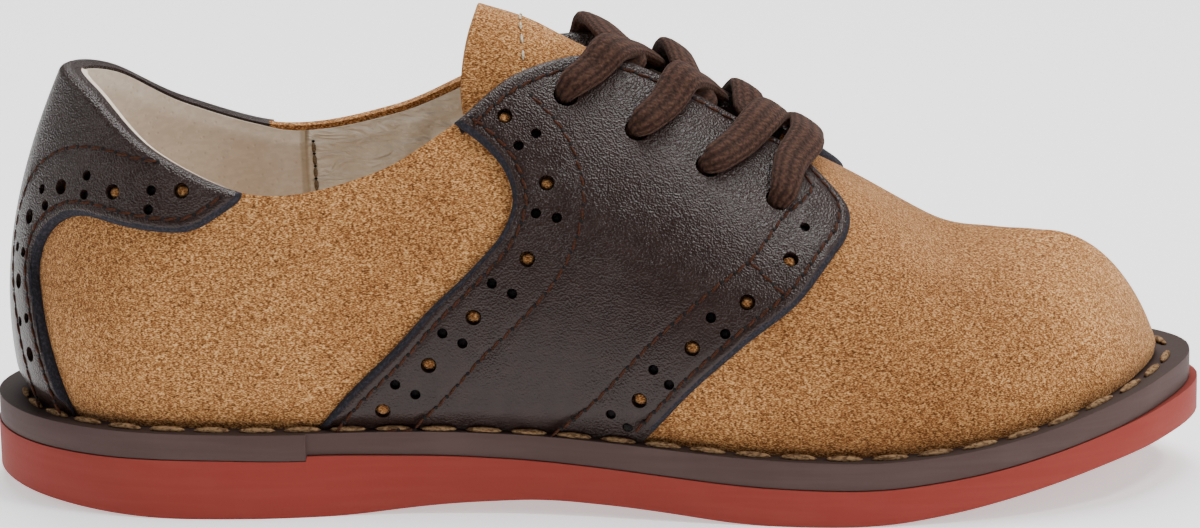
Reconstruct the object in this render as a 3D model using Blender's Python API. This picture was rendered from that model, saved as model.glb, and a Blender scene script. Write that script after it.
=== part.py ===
"""A child's saddle oxford: buck suede upper, smooth leather saddle and heel counter, rubber sole.

The shoe is the left one. +X runs from heel to toe, -Y is the inner (medial) side and +Z is up.
The origin is on the floor, midway along and across the sole.
Every size below is in millimetres, and is scaled to metres once, when a mesh is made.
"""

import math

import bmesh
import bpy
import numpy as np

MM = 0.001

# Material thicknesses and clearances
WALL = 2.0  # suede and lining together
OVERLAY = 1.2  # saddle and counter leather
OVERLAY_LIFT = 0.45  # from the suede's true curve to the underside of the overlays
GAP = 0.3  # between pieces that meet
INSOLE_THICK = 1.8
INSOLE_INSET = 3.2  # from the upper's outer foot line to the edge of the insole
TONGUE_THICK = 2.0
SOLE_EDGE_ROUND = 1.3  # on the rim that meets the floor
WELT_EDGE_ROUND = 0.5

# Punched eyelets and the lace that goes into them
EYELET_RADIUS = 1.7
EYELET_SIDES = 12
LACE_WIDTH = 4.2
LACE_THICK = 1.9

# Mesh fineness
AROUND = 36  # steps along each side, heel to toe
UP = 12  # steps from the welt to the top edge
VAMP_U = 0.75  # where the throat closes and the two sides meet on the crown

MEDIAL = -1
LATERAL = 1

# The last, a row for each section from the heel round to the toe. u runs along the welt.
# foot: where the upper meets the welt. top: its top edge, top_y from the middle line.
# lean_out and lean_in: degrees from upright at the foot and at the top edge.
# low and high: how far the wall keeps those leans, as a share of the section's height.
# ledge: how far the sole stands out past the foot.
# flare and rise: how much wider and higher the top edge is on the lateral side.
SECTION_COLUMNS = (
    "u", "foot_x", "medial", "lateral", "top_x", "top_y", "top_z",
    "lean_out", "lean_in", "low", "high", "ledge", "flare", "rise",
)
SECTIONS = {
    "heel_back":   (0.000, -81.6,  0.0,  0.0, -73.8,  0.0, 60.0,  12, 25, 0.36, 0.36, 5.4, 0.0, 0.0),
    "heel_turn":   (0.080, -77.0, 13.2, 13.2, -69.4,  9.4, 57.8,  11, 22, 0.36, 0.36, 4.3, 0.3, 0.1),
    "heel_side":   (0.160, -65.0, 21.8, 22.0, -60.5, 16.8, 50.8,  10, 18, 0.36, 0.36, 3.2, 1.4, 0.5),
    "heel_breast": (0.250, -48.0, 23.8, 24.6, -46.0, 20.0, 45.1,  10, 16, 0.36, 0.36, 3.0, 3.2, 1.2),
    "shank":       (0.360, -28.0, 22.8, 26.4, -30.0, 19.2, 47.7,  11, 20, 0.36, 0.36, 2.2, 3.4, 1.2),
    "waist":       (0.450, -11.0, 23.4, 28.2, -18.4, 16.6, 54.1,  12, 32, 0.38, 0.38, 2.0, 1.4, 0.5),
    "throat_top":  (0.510,   1.0, 25.0, 29.4, -10.0, 11.6, 59.8,  11, 42, 0.40, 0.36, 2.2, 0.0, 0.0),
    "instep":      (0.565,  11.0, 27.0, 30.2,   0.5,  6.8, 61.4,  10, 47, 0.40, 0.36, 2.4, 0.0, 0.0),
    "lacing":      (0.620,  21.0, 28.8, 30.4,  10.0,  6.0, 58.0,   9, 49, 0.40, 0.36, 2.6, 0.0, 0.0),
    "ball":        (0.680,  32.0, 30.2, 30.0,  20.0,  5.7, 52.0,   8, 53, 0.40, 0.36, 2.8, 0.0, 0.0),
    "throat_end":  (0.725,  40.5, 30.0, 28.4,  28.5,  4.8, 47.0,   7, 62, 0.41, 0.37, 2.9, 0.0, 0.0),
    "vamp":        (0.750,  45.0, 29.4, 27.0,  32.5,  0.0, 45.2,   6, 74, 0.41, 0.36, 3.0, 0.0, 0.0),
    "toe_box":     (0.820,  58.5, 26.6, 23.4,  45.5,  0.0, 37.3,   2, 78, 0.42, 0.36, 3.0, 0.0, 0.0),
    "toe_side":    (0.885,  69.0, 21.8, 18.2,  55.0,  0.0, 34.8,  -4, 84, 0.38, 0.40, 3.5, 0.0, 0.0),
    "toe_turn":    (0.945,  76.7, 14.4, 11.0,  60.8,  0.0, 34.3, -10, 87, 0.33, 0.40, 4.4, 0.0, 0.0),
    "toe_tip":     (1.000,  81.2,  1.8, -1.8,  65.6,  0.0, 34.1, -15, 86, 0.28, 0.39, 5.8, 0.0, 0.0),
}
FREE_ENDED = ("u", "medial", "lateral", "top_y")  # columns whose slope isn't level at heel back and toe tip

# The sole from the side: the tread, the seam between red and brown rubber, and the welt's top.
PROFILE_COLUMNS = ("x", "tread", "seam", "welt")
PROFILE = (
    (-90.0, 2.1, 8.7, 12.7),
    (-78.0, 1.2, 8.7, 12.6),
    (-70.0, 0.55, 8.6, 12.5),
    (-60.0, 0.0, 8.6, 12.4),
    (-34.0, 0.0, 8.6, 12.0),
    (-20.0, 1.5, 8.5, 11.9),
    (-6.0, 2.3, 7.8, 11.4),
    (8.0, 1.5, 6.7, 10.5),
    (22.0, 0.0, 5.5, 9.5),
    (40.0, 0.0, 5.1, 9.0),
    (50.0, 1.2, 6.0, 9.6),
    (57.0, 2.6, 7.1, 10.6),
    (64.0, 4.2, 8.6, 12.1),
    (71.0, 5.9, 10.3, 14.0),
    (78.0, 7.3, 12.0, 15.9),
    (90.0, 8.9, 13.8, 17.9),
)


def hermite(knots, values, slopes, at):
    """Smooth curve through rows of values at knots, with the given slopes, read at one place."""
    i = int(np.clip(np.searchsorted(knots, at) - 1, 0, len(knots) - 2))
    step = knots[i + 1] - knots[i]
    s = (at - knots[i]) / step
    return (
        values[i] * (2 * s**3 - 3 * s**2 + 1)
        + slopes[i] * step * (s**3 - 2 * s**2 + s)
        + values[i + 1] * (3 * s**2 - 2 * s**3)
        + slopes[i + 1] * step * (s**3 - s**2)
    )


def inner_slopes(knots, values):
    """Slope at each row from its two neighbours, and one-sided at the two ends."""
    slopes = np.zeros_like(values)
    slopes[1:-1] = (values[2:] - values[:-2]) / (knots[2:] - knots[:-2])[:, None]
    slopes[0] = (values[1] - values[0]) / (knots[1] - knots[0])
    slopes[-1] = (values[-1] - values[-2]) / (knots[-1] - knots[-2])
    return slopes


SECTION_ROWS = np.array(list(SECTIONS.values()), float)
SECTION_SLOPES = inner_slopes(SECTION_ROWS[:, 0], SECTION_ROWS)
for column, column_name in enumerate(SECTION_COLUMNS):
    if column_name not in FREE_ENDED:
        SECTION_SLOPES[[0, -1], column] = 0.0


def section(u):
    """The last's columns at u, by name."""
    row = hermite(SECTION_ROWS[:, 0], SECTION_ROWS, SECTION_SLOPES, min(max(u, 0.0), 1.0))
    named = dict(zip(SECTION_COLUMNS, row))
    named["top_y"] = 0.0 if u >= VAMP_U - 1e-6 else max(named["top_y"], 0.0)
    return named


PROFILE_ROWS = np.array(PROFILE)


def level(x, name):
    """Height of one line of the sole's side at x. Straight runs stay straight, so the rests are flat."""
    return float(np.interp(x, PROFILE_ROWS[:, 0], PROFILE_ROWS[:, PROFILE_COLUMNS.index(name)]))


def foot_point(side, u):
    """Where the upper meets the welt, in plan."""
    row = section(u)
    return np.array([row["foot_x"], side * row["medial" if side == MEDIAL else "lateral"]])


def outline(side, u, out):
    """The foot line in plan, moved outwards by out."""
    step = 0.004
    ahead = foot_point(side, min(u + step, 1.0))
    behind = foot_point(side, max(u - step, 0.0))
    if u <= 0.0 or u >= 1.0:
        along = np.array([0.0, side if u <= 0.0 else -side])
    else:
        along = (ahead - behind) / np.linalg.norm(ahead - behind)
    return foot_point(side, u) + out * side * np.array([-along[1], along[0]])


def wall_point(side, u, t):
    """The upper's outer curve: one arched section at each u, from the foot at t 0 to the top at t 1."""
    row = section(u)
    plan = foot_point(side, u)
    out = math.radians(row["lean_out"])
    inner_dip = WALL * max(-math.sin(out), 0.0)  # a wall that leans in is lower on its inner face
    foot = np.array([*plan, level(plan[0], "welt") + GAP + inner_dip])
    if side == LATERAL:
        row["top_y"] += row["flare"]
        row["top_z"] += row["rise"]
    top = np.array([row["top_x"], side * row["top_y"], row["top_z"]])
    reach = np.linalg.norm(top - foot)
    inward = np.array([*(top - foot)[:2], 0.0])
    inward /= np.linalg.norm(inward)
    upward = np.array([0.0, 0.0, 1.0])
    lean = math.radians(row["lean_in"])
    low = foot + reach * row["low"] * (upward * math.cos(out) - inward * math.sin(out))
    high = top - reach * row["high"] * (upward * math.cos(lean) + inward * math.sin(lean))
    s = 1.0 - t
    return foot * s**3 + low * 3 * s * s * t + high * 3 * s * t * t + top * t**3


def skin(side, u, t, lift):
    """A point of the upper's outer curve, moved outwards by lift."""
    step_u = 0.004
    step_t = 0.01
    ahead = wall_point(side, min(u + step_u, 1.0), t)
    behind = wall_point(side, max(u - step_u, 0.0), t)
    along = np.array([0.0, side, 0.0]) if u <= 0.0 else ahead - behind
    climb = wall_point(side, u, min(t + step_t, 1.0)) - wall_point(side, u, max(t - step_t, 0.0))
    outward = -side * np.cross(along, climb)
    return wall_point(side, u, t) + lift * outward / np.linalg.norm(outward)


def locate(side, x, z, lift, guess):
    """The u and t of the skin point that a side view shows at x, z, by a few Newton steps from guess."""
    place = np.array(guess, float)
    small = 1e-4
    for _ in range(12):
        here = skin(side, *place, lift)[[0, 2]]
        by_u = (skin(side, place[0] + small, place[1], lift)[[0, 2]] - here) / small
        by_t = (skin(side, place[0], place[1] - small, lift)[[0, 2]] - here) / -small
        move = np.linalg.solve(np.column_stack([by_u, by_t]), np.array([x, z]) - here)
        place = np.clip(place + np.clip(move, -0.08, 0.08), [0.0, 0.0], [1.0, 1.0])
    return place


def smooth_path(points, share):
    """A smooth curve through points, read at a share of its length. Rows may have any number of columns."""
    points = np.array(points, float)
    runs = np.linalg.norm(np.diff(points, axis=0), axis=1)
    knots = np.concatenate([[0.0], np.cumsum(runs)])
    return hermite(knots, points, inner_slopes(knots, points), share * knots[-1])


# The saddle's two long edges as the side view shows them, from the welt up. Between them lie the
# welt and the top edge.
FOOT_T = 0.016  # overlays stop this far up the section, just clear of the welt
OVERLAY_FACE = OVERLAY_LIFT + OVERLAY
SADDLE_BACK = (
    (-37.9, 13.6),
    (-33.2, 17.6),
    (-27.5, 23.3),
    (-21.8, 29.6),
    (-16.1, 35.1),
    (-11.9, 39.8),
    (-10.2, 43.8),
    (-10.4, 46.4),
    (-11.8, 49.4),
    (-14.6, 52.3),
)
SADDLE_FRONT = (
    (7.2, 12.4),
    (14.2, 18.4),
    (21.2, 24.8),
    (29.5, 31.2),
    (35.2, 37.3),
    (37.0, 39.8),
    (36.8, 41.6),
    (34.1, 44.3),
)
SADDLE_TOP_U = (0.451, 0.726)  # where the two edges end on the top edge
SADDLE_GUESS = (0.5, 0.5)
SADDLE_STEPS = (12, 13)


def saddle_edges(side):
    """The back and front edges of one saddle as u and t, from the welt up."""
    edges = []
    for rows, top_u in zip((SADDLE_BACK, SADDLE_FRONT), SADDLE_TOP_U):
        places = []
        guess = SADDLE_GUESS
        for x, z in rows:
            guess = locate(side, x, z, OVERLAY_FACE, guess)
            places.append(guess)
        places[0] = np.array([places[0][0], FOOT_T])
        edges.append(places + [np.array([top_u, 1.0])])
    return edges


def in_mm(place):
    """Scales u and t to about a millimetre each, so that curves drawn in them are not squashed."""
    return np.array([place[0] * 190.0, place[1] * 60.0])


def saddle_place(edges, a, b):
    """A point of the saddle as u and t: ruled from the back edge to the front one, a going forward, b up."""
    back, front = ([in_mm(p) for p in edge] for edge in edges)
    mixed = smooth_path(back, b) * (1 - a) + smooth_path(front, b) * a
    return mixed[0] / 190.0, mixed[1] / 60.0


# The counter's lower edge as the side view shows it, from the tip of the wing to the welt, and the
# place on the top edge above each row.
COUNTER_COLUMNS = ("x", "z", "top_u")
COUNTER_EDGE = (
    (-48.8, 44.3, 0.238),
    (-50.7, 43.0, 0.222),
    (-55.0, 40.7, 0.194),
    (-59.3, 40.4, 0.166),
    (-65.1, 41.0, 0.130),
    (-70.3, 41.8, 0.100),
    (-73.6, 41.4, 0.078),
    (-76.6, 39.5, 0.060),
    (-78.5, 36.8, 0.048),
    (-79.5, 33.0, 0.041),
    (-79.0, 28.5, 0.036),
    (-77.3, 21.1, 0.028),
    (-74.3, 14.8, 0.020),
)
COUNTER_GUESS = (0.24, 0.95)
COUNTER_STEPS = (22, 9)  # columns for each half, and rows
COUNTER_BOW = 2.2  # how soon its upright lines lean back from the lower edge


def counter_edge(side):
    """The lower edge and the top edge of one half of the counter, as rows of u, t and top_u."""
    rows = []
    guess = COUNTER_GUESS
    for x, z, top_u in COUNTER_EDGE:
        guess = locate(side, x, z, OVERLAY_FACE, guess)
        rows.append((guess[0], guess[1], top_u))
    rows[-1] = (rows[-1][0], FOOT_T, rows[-1][2])
    return rows


def counter_place(rows, a, b):
    """A point of half the counter as u and t: a from the wing's tip to the heel back, b going up."""
    edge_share = 0.80
    scaled = [(u * 190.0, t * 60.0, top_u * 190.0) for u, t, top_u in rows]
    if a < edge_share:
        u, t, top_u = smooth_path(scaled, a / edge_share)
    else:
        left = (1.0 - a) / (1.0 - edge_share)
        u, t, top_u = scaled[-1][0] * left, scaled[-1][1], scaled[-1][2] * left
    bow = (1 - b) ** COUNTER_BOW
    return (u * bow + top_u * (1 - bow)) / 190.0, (t * (1 - b) + 60.0 * b) / 60.0


# The tongue, a row for each section from its root under the vamp to its free end.
# crown: the middle line. edge: the side edges. lean: degrees below level at the edge.
# round: how far the crown stays level, as a share of the section.
TONGUE_COLUMNS = ("crown_x", "crown_z", "edge_x", "edge_y", "edge_z", "lean", "round")
TONGUE = {
    "root":       (39.4, 37.4, 44.6,  9.6, 33.8, 30, 0.28),
    "vamp":       (32.9, 41.4, 38.2, 10.4, 37.0, 32, 0.26),
    "throat_end": (25.2, 45.6, 31.6, 11.8, 39.0, 36, 0.22),
    "ball":       (16.4, 51.6, 22.9, 12.2, 43.1, 42, 0.20),
    "lacing":     ( 6.8, 58.0, 13.0, 12.2, 48.0, 46, 0.20),
    "instep":     (-2.0, 62.4,  3.9, 12.2, 51.0, 49, 0.21),
    "facing_top": (-8.4, 65.8, -3.4, 12.0, 53.0, 56, 0.25),
    "tip":        (-15.6, 68.2, -17.2, 11.4, 53.8, 66, 0.36),
}
TONGUE_STEPS = (16, 12)
TONGUE_ROWS = np.array(list(TONGUE.values()))


def tongue_point(share, across):
    """A point of the tongue's outer face: share from root to end, across from -1 to 1 over the foot."""
    crown_x, crown_z, edge_x, edge_y, edge_z, lean, level_share = smooth_path(TONGUE_ROWS, share)
    side = -1.0 if across < 0 else 1.0
    crown = np.array([crown_x, 0.0, crown_z])
    edge = np.array([edge_x, side * edge_y, edge_z])
    reach = np.linalg.norm(edge - crown)
    outward = np.array([0.0, side, 0.0])
    falling = np.array([0.3, side * math.cos(math.radians(lean)), -math.sin(math.radians(lean))])
    first = crown + level_share * reach * outward
    last = edge - 0.33 * reach * falling
    t = abs(across)
    s = 1.0 - t
    return crown * s**3 + first * 3 * s * s * t + last * 3 * s * t * t + edge * t**3


# Eyelets as the side view shows them, from the top down to the toe end.
EYELETS = ((-2.7, 57.6), (7.2, 52.9), (17.0, 47.9), (26.7, 43.1))
EYELET_GUESS = (0.6, 0.85)


def eyelet_places(side):
    """The four eyelets of one side as u and t."""
    return [locate(side, x, z, OVERLAY_FACE, EYELET_GUESS) for x, z in EYELETS]


def skin_normal(side, u, t):
    """The way out of the upper at u, t."""
    return skin(side, u, t, 1.0) - skin(side, u, t, 0.0)


# Meshes


def new_object(name, bm, material):
    """An object from a bmesh drawn in millimetres."""
    bmesh.ops.remove_doubles(bm, verts=bm.verts[:], dist=0.01)
    bmesh.ops.dissolve_degenerate(bm, edges=bm.edges[:], dist=0.001)
    bmesh.ops.scale(bm, vec=(MM, MM, MM), verts=bm.verts[:])
    mesh = bpy.data.meshes.new(name)
    bm.to_mesh(mesh)
    bm.free()
    mesh.materials.append(material)
    obj = bpy.data.objects.new(name, mesh)
    bpy.context.scene.collection.objects.link(obj)
    return obj


def sheet(columns, rows, place):
    """A grid whose points go to place(a, b), a and b running from 0 to 1."""
    bm = bmesh.new()
    bmesh.ops.create_grid(bm, x_segments=columns, y_segments=rows, size=0.5)
    for vert in bm.verts:
        vert.co = place(min(max(vert.co.x + 0.5, 0.0), 1.0), min(max(vert.co.y + 0.5, 0.0), 1.0))
    return bm


def thicken(obj, thick, offset):
    """Gives a sheet its thickness, inwards at offset -1 and outwards at offset 1."""
    modifier = obj.modifiers.new("thickness", "SOLIDIFY")
    modifier.thickness = thick * MM
    modifier.offset = offset
    modifier.use_even_offset = False
    return obj


def cut(obj, cutter, operation="DIFFERENCE"):
    """Cuts obj by a hidden helper, or joins the helper to it."""
    modifier = obj.modifiers.new(operation.lower(), "BOOLEAN")
    modifier.object = cutter
    modifier.operation = operation
    modifier.solver = "EXACT"
    cutter.hide_render = True
    cutter.display_type = "WIRE"
    return obj


def finish(name, colour, roughness):
    """A plain Principled material."""
    material = bpy.data.materials.new(name)
    material.use_nodes = True
    shader = material.node_tree.nodes["Principled BSDF"]
    shader.inputs["Base Color"].default_value = (*colour, 1.0)
    shader.inputs["Roughness"].default_value = roughness
    return material


def slab(name, out_of, top, bottom, material, rounding):
    """A layer of the sole: the foot line moved out, filled across, from one height down to another."""

    def place(a, b):
        near = outline(MEDIAL, a, out_of(a))
        far = outline(LATERAL, a, out_of(a))
        plan = near * (1 - b) + far * b
        return (plan[0], plan[1], top(plan[0]))

    bm = sheet(AROUND, 2, place)
    bmesh.ops.remove_doubles(bm, verts=bm.verts[:], dist=0.01)
    made = bmesh.ops.extrude_face_region(bm, geom=bm.faces[:])["geom"]
    under = [v for v in made if isinstance(v, bmesh.types.BMVert)]
    for vert in under:
        vert.co.z = bottom(vert.co.x)
    bmesh.ops.recalc_face_normals(bm, faces=bm.faces[:])
    low = set(under)
    rim = [
        edge for edge in bm.edges
        if edge.verts[0] in low and edge.verts[1] in low and edge.calc_face_angle(0.0) > 1.2
    ]
    bmesh.ops.bevel(
        bm, geom=rim, offset=rounding, segments=2, profile=0.5, affect="EDGES", clamp_overlap=True
    )
    return new_object(name, bm, material)


def build_outsole():
    """Red rubber, flat under the heel and the ball, with an arch between and a sprung toe."""
    rubber = finish("red_rubber", (0.30, 0.055, 0.035), 0.6)
    return slab(
        "outsole",
        lambda u: section(u)["ledge"],
        lambda x: level(x, "seam") - GAP / 2,
        lambda x: level(x, "tread"),
        rubber,
        SOLE_EDGE_ROUND,
    )


def build_welt():
    """The brown band under the upper, a whole layer across."""
    rubber = finish("brown_rubber", (0.11, 0.06, 0.05), 0.6)
    return slab(
        "welt",
        lambda u: section(u)["ledge"] - 0.2 - max(u - 0.9, 0.0) * 10.0,
        lambda x: level(x, "welt"),
        lambda x: level(x, "seam") + GAP / 2,
        rubber,
        WELT_EDGE_ROUND,
    )


def build_insole():
    """The insole, lying on the welt layer inside the upper."""
    leather = finish("insole_leather", (0.52, 0.42, 0.30), 0.7)
    return slab(
        "insole",
        lambda u: -INSOLE_INSET,
        lambda x: level(x, "welt") + GAP + INSOLE_THICK,
        lambda x: level(x, "welt") + GAP,
        leather,
        WELT_EDGE_ROUND,
    )


def build_upper():
    """Vamp and quarters: one hollow wall, open at the collar, the throat and underneath."""
    suede = finish("tan_suede", (0.42, 0.23, 0.09), 0.9)

    def place(a, b):
        if a <= 0.5:
            return wall_point(MEDIAL, 2 * a, b)
        return wall_point(LATERAL, 2 * (1 - a), b)

    bm = sheet(2 * AROUND, UP, place)
    return thicken(new_object("upper", bm, suede), WALL, -1)


def build_saddle(name, side, leather):
    """One side's saddle, following the upper."""
    edges = saddle_edges(side)

    def place(a, b):
        forward = a if side == MEDIAL else 1 - a
        return skin(side, *saddle_place(edges, forward, b), OVERLAY_LIFT)

    bm = sheet(*SADDLE_STEPS, place)
    return thicken(new_object(name, bm, leather), OVERLAY, 1)


def build_counter(leather):
    """The heel counter: a strip up the heel back with a wing along each side of the collar."""
    halves = {side: counter_edge(side) for side in (MEDIAL, LATERAL)}

    def place(a, b):
        side = LATERAL if a <= 0.5 else MEDIAL
        along = 2 * a if side == LATERAL else 2 * (1 - a)
        return skin(side, *counter_place(halves[side], along, b), OVERLAY_LIFT)

    bm = sheet(2 * COUNTER_STEPS[0], COUNTER_STEPS[1], place)
    return thicken(new_object("counter", bm, leather), OVERLAY, 1)


def build_tongue():
    """The tongue, lying under the facings with its free end above them."""
    suede = finish("tongue_suede", (0.42, 0.23, 0.09), 0.9)
    bm = sheet(*TONGUE_STEPS, lambda a, b: tongue_point(1 - a, 2 * b - 1))
    return thicken(new_object("tongue", bm, suede), TONGUE_THICK, -1)


def eyelet_punch():
    """A helper: one pin through each eyelet."""
    bm = bmesh.new()
    for side in (MEDIAL, LATERAL):
        for u, t in eyelet_places(side):
            centre = skin(side, u, t, 0.0)
            rings = []
            for lift in (-6.0, 6.0):
                rings.append(ring(bm, centre + lift * skin_normal(side, u, t), skin_normal(side, u, t)))
            bmesh.ops.bridge_loops(bm, edges=rings[0] + rings[1])
            for edges in rings:
                bmesh.ops.contextual_create(bm, geom=edges)
    bmesh.ops.recalc_face_normals(bm, faces=bm.faces[:])
    return new_object("eyelet_punch", bm, finish("helper", (0.5, 0.5, 0.5), 0.5))


def across_pair(normal, hint=(1.0, 0.0, 0.0)):
    """Two directions square to normal and to each other, the first near hint."""
    normal = np.array(normal) / np.linalg.norm(normal)
    first = np.array(hint) - normal * np.dot(hint, normal)
    first /= np.linalg.norm(first)
    return first, np.cross(normal, first)


def ring(bm, centre, normal, wide=EYELET_RADIUS, thick=EYELET_RADIUS, sides=EYELET_SIDES, hint=(1.0, 0, 0)):
    """A closed loop of edges round centre, square to normal, wide along hint."""
    first, second = across_pair(normal, hint)
    made = bmesh.ops.create_circle(bm, segments=sides, radius=1.0)["verts"]
    for vert in made:
        x, y, _ = vert.co
        vert.co = centre + first * wide * x + second * thick * y
    return list({edge for vert in made for edge in vert.link_edges})


def flat_cord(bm, path, normals, steps=10):
    """A flat lace along path, its broad face turned to normals."""
    loops = []
    rows = np.hstack([path, normals])
    for i in range(steps + 1):
        share = i / steps
        centre, up = np.split(smooth_path(rows, share), 2)
        ahead = (smooth_path(rows, min(share + 0.02, 1.0)) - smooth_path(rows, max(share - 0.02, 0.0)))[:3]
        broad = np.cross(ahead, up)
        loops.append(ring(bm, centre, ahead, LACE_WIDTH / 2, LACE_THICK / 2, 8, broad))
    for one, two in zip(loops, loops[1:]):
        bmesh.ops.bridge_loops(bm, edges=one + two)
    for edges in (loops[0], loops[-1]):
        bmesh.ops.contextual_create(bm, geom=edges)
    bmesh.ops.recalc_face_normals(bm, faces=bm.faces[:])


LACE_LIFT = OVERLAY_FACE + GAP + LACE_THICK / 2
STRAND_EDGE_U = (0.596, 0.652, 0.698)  # where the strands of each crossing pass the throat's edges
BAR_EDGE_U = 0.733  # and where the bar passes them


def throat_middle(u, sink):
    """Midway between the facings at u, sunk below the line from edge to edge, and the way up there."""
    one = skin(MEDIAL, u, 1.0, LACE_LIFT)
    two = skin(LATERAL, u, 1.0, LACE_LIFT)
    up = skin_normal(MEDIAL, u, 1.0) + skin_normal(LATERAL, u, 1.0)
    up /= np.linalg.norm(up)
    return (one + two) / 2 - sink * up, up


def lace_strand(name, side, start, edge_u, sink, material):
    """One strand of a crossing: from its eyelet, over the edge of the facing at edge_u, into the throat."""
    bm = bmesh.new()
    half_way = (start[0] * 0.55 + edge_u * 0.45, start[1] * 0.5 + 0.5)
    middle, up = throat_middle(edge_u + 0.004, sink)
    end, _ = throat_middle(edge_u + 0.010, sink + 0.7)
    end[1] = -side * 2.6
    path = [
        skin(side, *start, LACE_LIFT),
        skin(side, *half_way, LACE_LIFT),
        skin(side, edge_u, 1.0, LACE_LIFT),
        middle,
        end,
    ]
    normals = [
        skin_normal(side, *start),
        skin_normal(side, *half_way),
        (skin_normal(side, edge_u, 1.0) + up) / 2,
        up,
        up,
    ]
    flat_cord(bm, path, normals)
    return new_object(name, bm, material)


def build_laces(material):
    """The bar at the toe end and the three crossings above it."""
    near = eyelet_places(MEDIAL)
    far = eyelet_places(LATERAL)
    for i, edge_u in enumerate(STRAND_EDGE_U):
        name = f"lace_cross_{3 - i}"
        top = lace_strand(name, MEDIAL, near[i], edge_u, 0.5, material)
        low = lace_strand(name + "_helper", LATERAL, far[i], edge_u, 1.4, material)
        cut(top, low, "UNION")
    bm = bmesh.new()
    middle, up = throat_middle(BAR_EDGE_U, -0.2)
    path = [middle]
    normals = [up]
    for side, (u, t) in ((MEDIAL, near[3]), (LATERAL, far[3])):
        stops = [(BAR_EDGE_U, 1.0), (u * 0.55 + BAR_EDGE_U * 0.45, t * 0.5 + 0.5), (u, t)]
        reach = [skin(side, *place, LACE_LIFT) for place in stops]
        faces = [skin_normal(side, *place) for place in stops]
        path = reach[::-1] + path if side == MEDIAL else path + reach
        normals = faces[::-1] + normals if side == MEDIAL else normals + faces
    flat_cord(bm, path, normals, 14)
    new_object("lace_bar", bm, material)


def main():
    for obj in list(bpy.data.objects):
        bpy.data.objects.remove(obj, do_unlink=True)
    leather = finish("brown_leather", (0.035, 0.022, 0.018), 0.35)
    cotton = finish("brown_cotton", (0.06, 0.03, 0.022), 0.9)
    build_outsole()
    build_welt()
    build_insole()
    punch = eyelet_punch()
    cut(build_upper(), punch)
    cut(build_saddle("saddle_inner", MEDIAL, leather), punch)
    cut(build_saddle("saddle_outer", LATERAL, leather), punch)
    build_counter(leather)
    build_tongue()
    build_laces(cotton)


main()
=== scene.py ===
"""Looks of a child's saddle oxford: tan buck suede, brown leather saddle and counter, red rubber sole.

The shoe is the left one. +X runs from heel to toe, -Y is the inner side of the foot and +Z is up.
Sizes are in millimetres and are scaled to metres once, when a mesh is made.
"""

from __future__ import annotations

import logging
import math
from dataclasses import dataclass, field
from enum import Enum
from typing import Callable, Iterable, Sequence

import bmesh
import bpy
import numpy as np
from mathutils import Matrix, Vector


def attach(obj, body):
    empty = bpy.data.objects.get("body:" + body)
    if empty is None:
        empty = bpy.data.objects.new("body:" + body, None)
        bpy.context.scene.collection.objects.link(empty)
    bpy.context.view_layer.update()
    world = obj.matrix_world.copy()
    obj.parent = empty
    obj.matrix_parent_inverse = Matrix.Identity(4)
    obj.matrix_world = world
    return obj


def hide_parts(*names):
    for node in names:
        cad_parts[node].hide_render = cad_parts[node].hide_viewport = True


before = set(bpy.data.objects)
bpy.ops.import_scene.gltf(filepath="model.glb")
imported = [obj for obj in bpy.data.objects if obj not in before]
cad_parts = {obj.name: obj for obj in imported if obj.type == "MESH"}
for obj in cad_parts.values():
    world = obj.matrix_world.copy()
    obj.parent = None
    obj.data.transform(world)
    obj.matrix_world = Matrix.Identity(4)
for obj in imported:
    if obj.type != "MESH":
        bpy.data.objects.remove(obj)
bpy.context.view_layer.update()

MM = 0.001
BODY = "root"
U_MM, T_MM = 190.0, 60.0  # about how many millimetres one u and one t are
NUDGE = 1e-4  # the step of u or t that gives a slope
Colour = tuple[float, float, float]
Size = tuple[float, float, float]
Array = np.ndarray
LaceRow = tuple[Array, Array, float, float]  # point, way up, width and thickness
log = logging.getLogger("buck_shoe")


class Side(Enum):
    """The two sides of the foot, as the sign of Y."""

    INNER = -1
    OUTER = 1


# Curves


def slopes_of(knots: Array, values: Array) -> Array:
    """Slope at each row from its two neighbours, one-sided at the ends.

    Args:
        knots: where the rows are.
        values: the rows.

    Returns:
        A slope for each row and column.
    """
    slopes = np.zeros_like(values)
    slopes[1:-1] = (values[2:] - values[:-2]) / (knots[2:] - knots[:-2])[:, None]
    slopes[0] = (values[1] - values[0]) / (knots[1] - knots[0])
    slopes[-1] = (values[-1] - values[-2]) / (knots[-1] - knots[-2])
    return slopes


def hermite(knots: Array, values: Array, slopes: Array, at: Array) -> Array:
    """Smooth curve through rows of values, read at many places.

    Args:
        knots: where the rows are.
        values: the rows.
        slopes: a slope for each row and column.
        at: where to read.

    Returns:
        A row of values for each place.
    """
    at = np.atleast_1d(np.asarray(at, float))
    i = np.clip(np.searchsorted(knots, at) - 1, 0, len(knots) - 2)
    step = (knots[i + 1] - knots[i])[:, None]
    s = (at - knots[i])[:, None] / step
    return (
        values[i] * (2 * s**3 - 3 * s**2 + 1)
        + slopes[i] * step * (s**3 - 2 * s**2 + s)
        + values[i + 1] * (3 * s**2 - 2 * s**3)
        + slopes[i + 1] * step * (s**3 - s**2)
    )


def smooth_path(points: Sequence, share: Array) -> Array:
    """A smooth curve through points, read at shares of its length.

    Args:
        points: rows of any number of columns.
        share: places from 0 to 1.

    Returns:
        A row for each place.
    """
    rows = np.array(points, float)
    runs = np.linalg.norm(np.diff(rows, axis=0), axis=1)
    knots = np.concatenate([[0.0], np.cumsum(runs)])
    return hermite(knots, rows, slopes_of(knots, rows), np.asarray(share) * knots[-1])


def ease(low: float, high: float, value: Array) -> Array:
    """A soft step from 0 at low to 1 at high."""
    s = np.clip((np.asarray(value, float) - low) / (high - low), 0.0, 1.0)
    return s * s * (3 - 2 * s)


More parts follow.
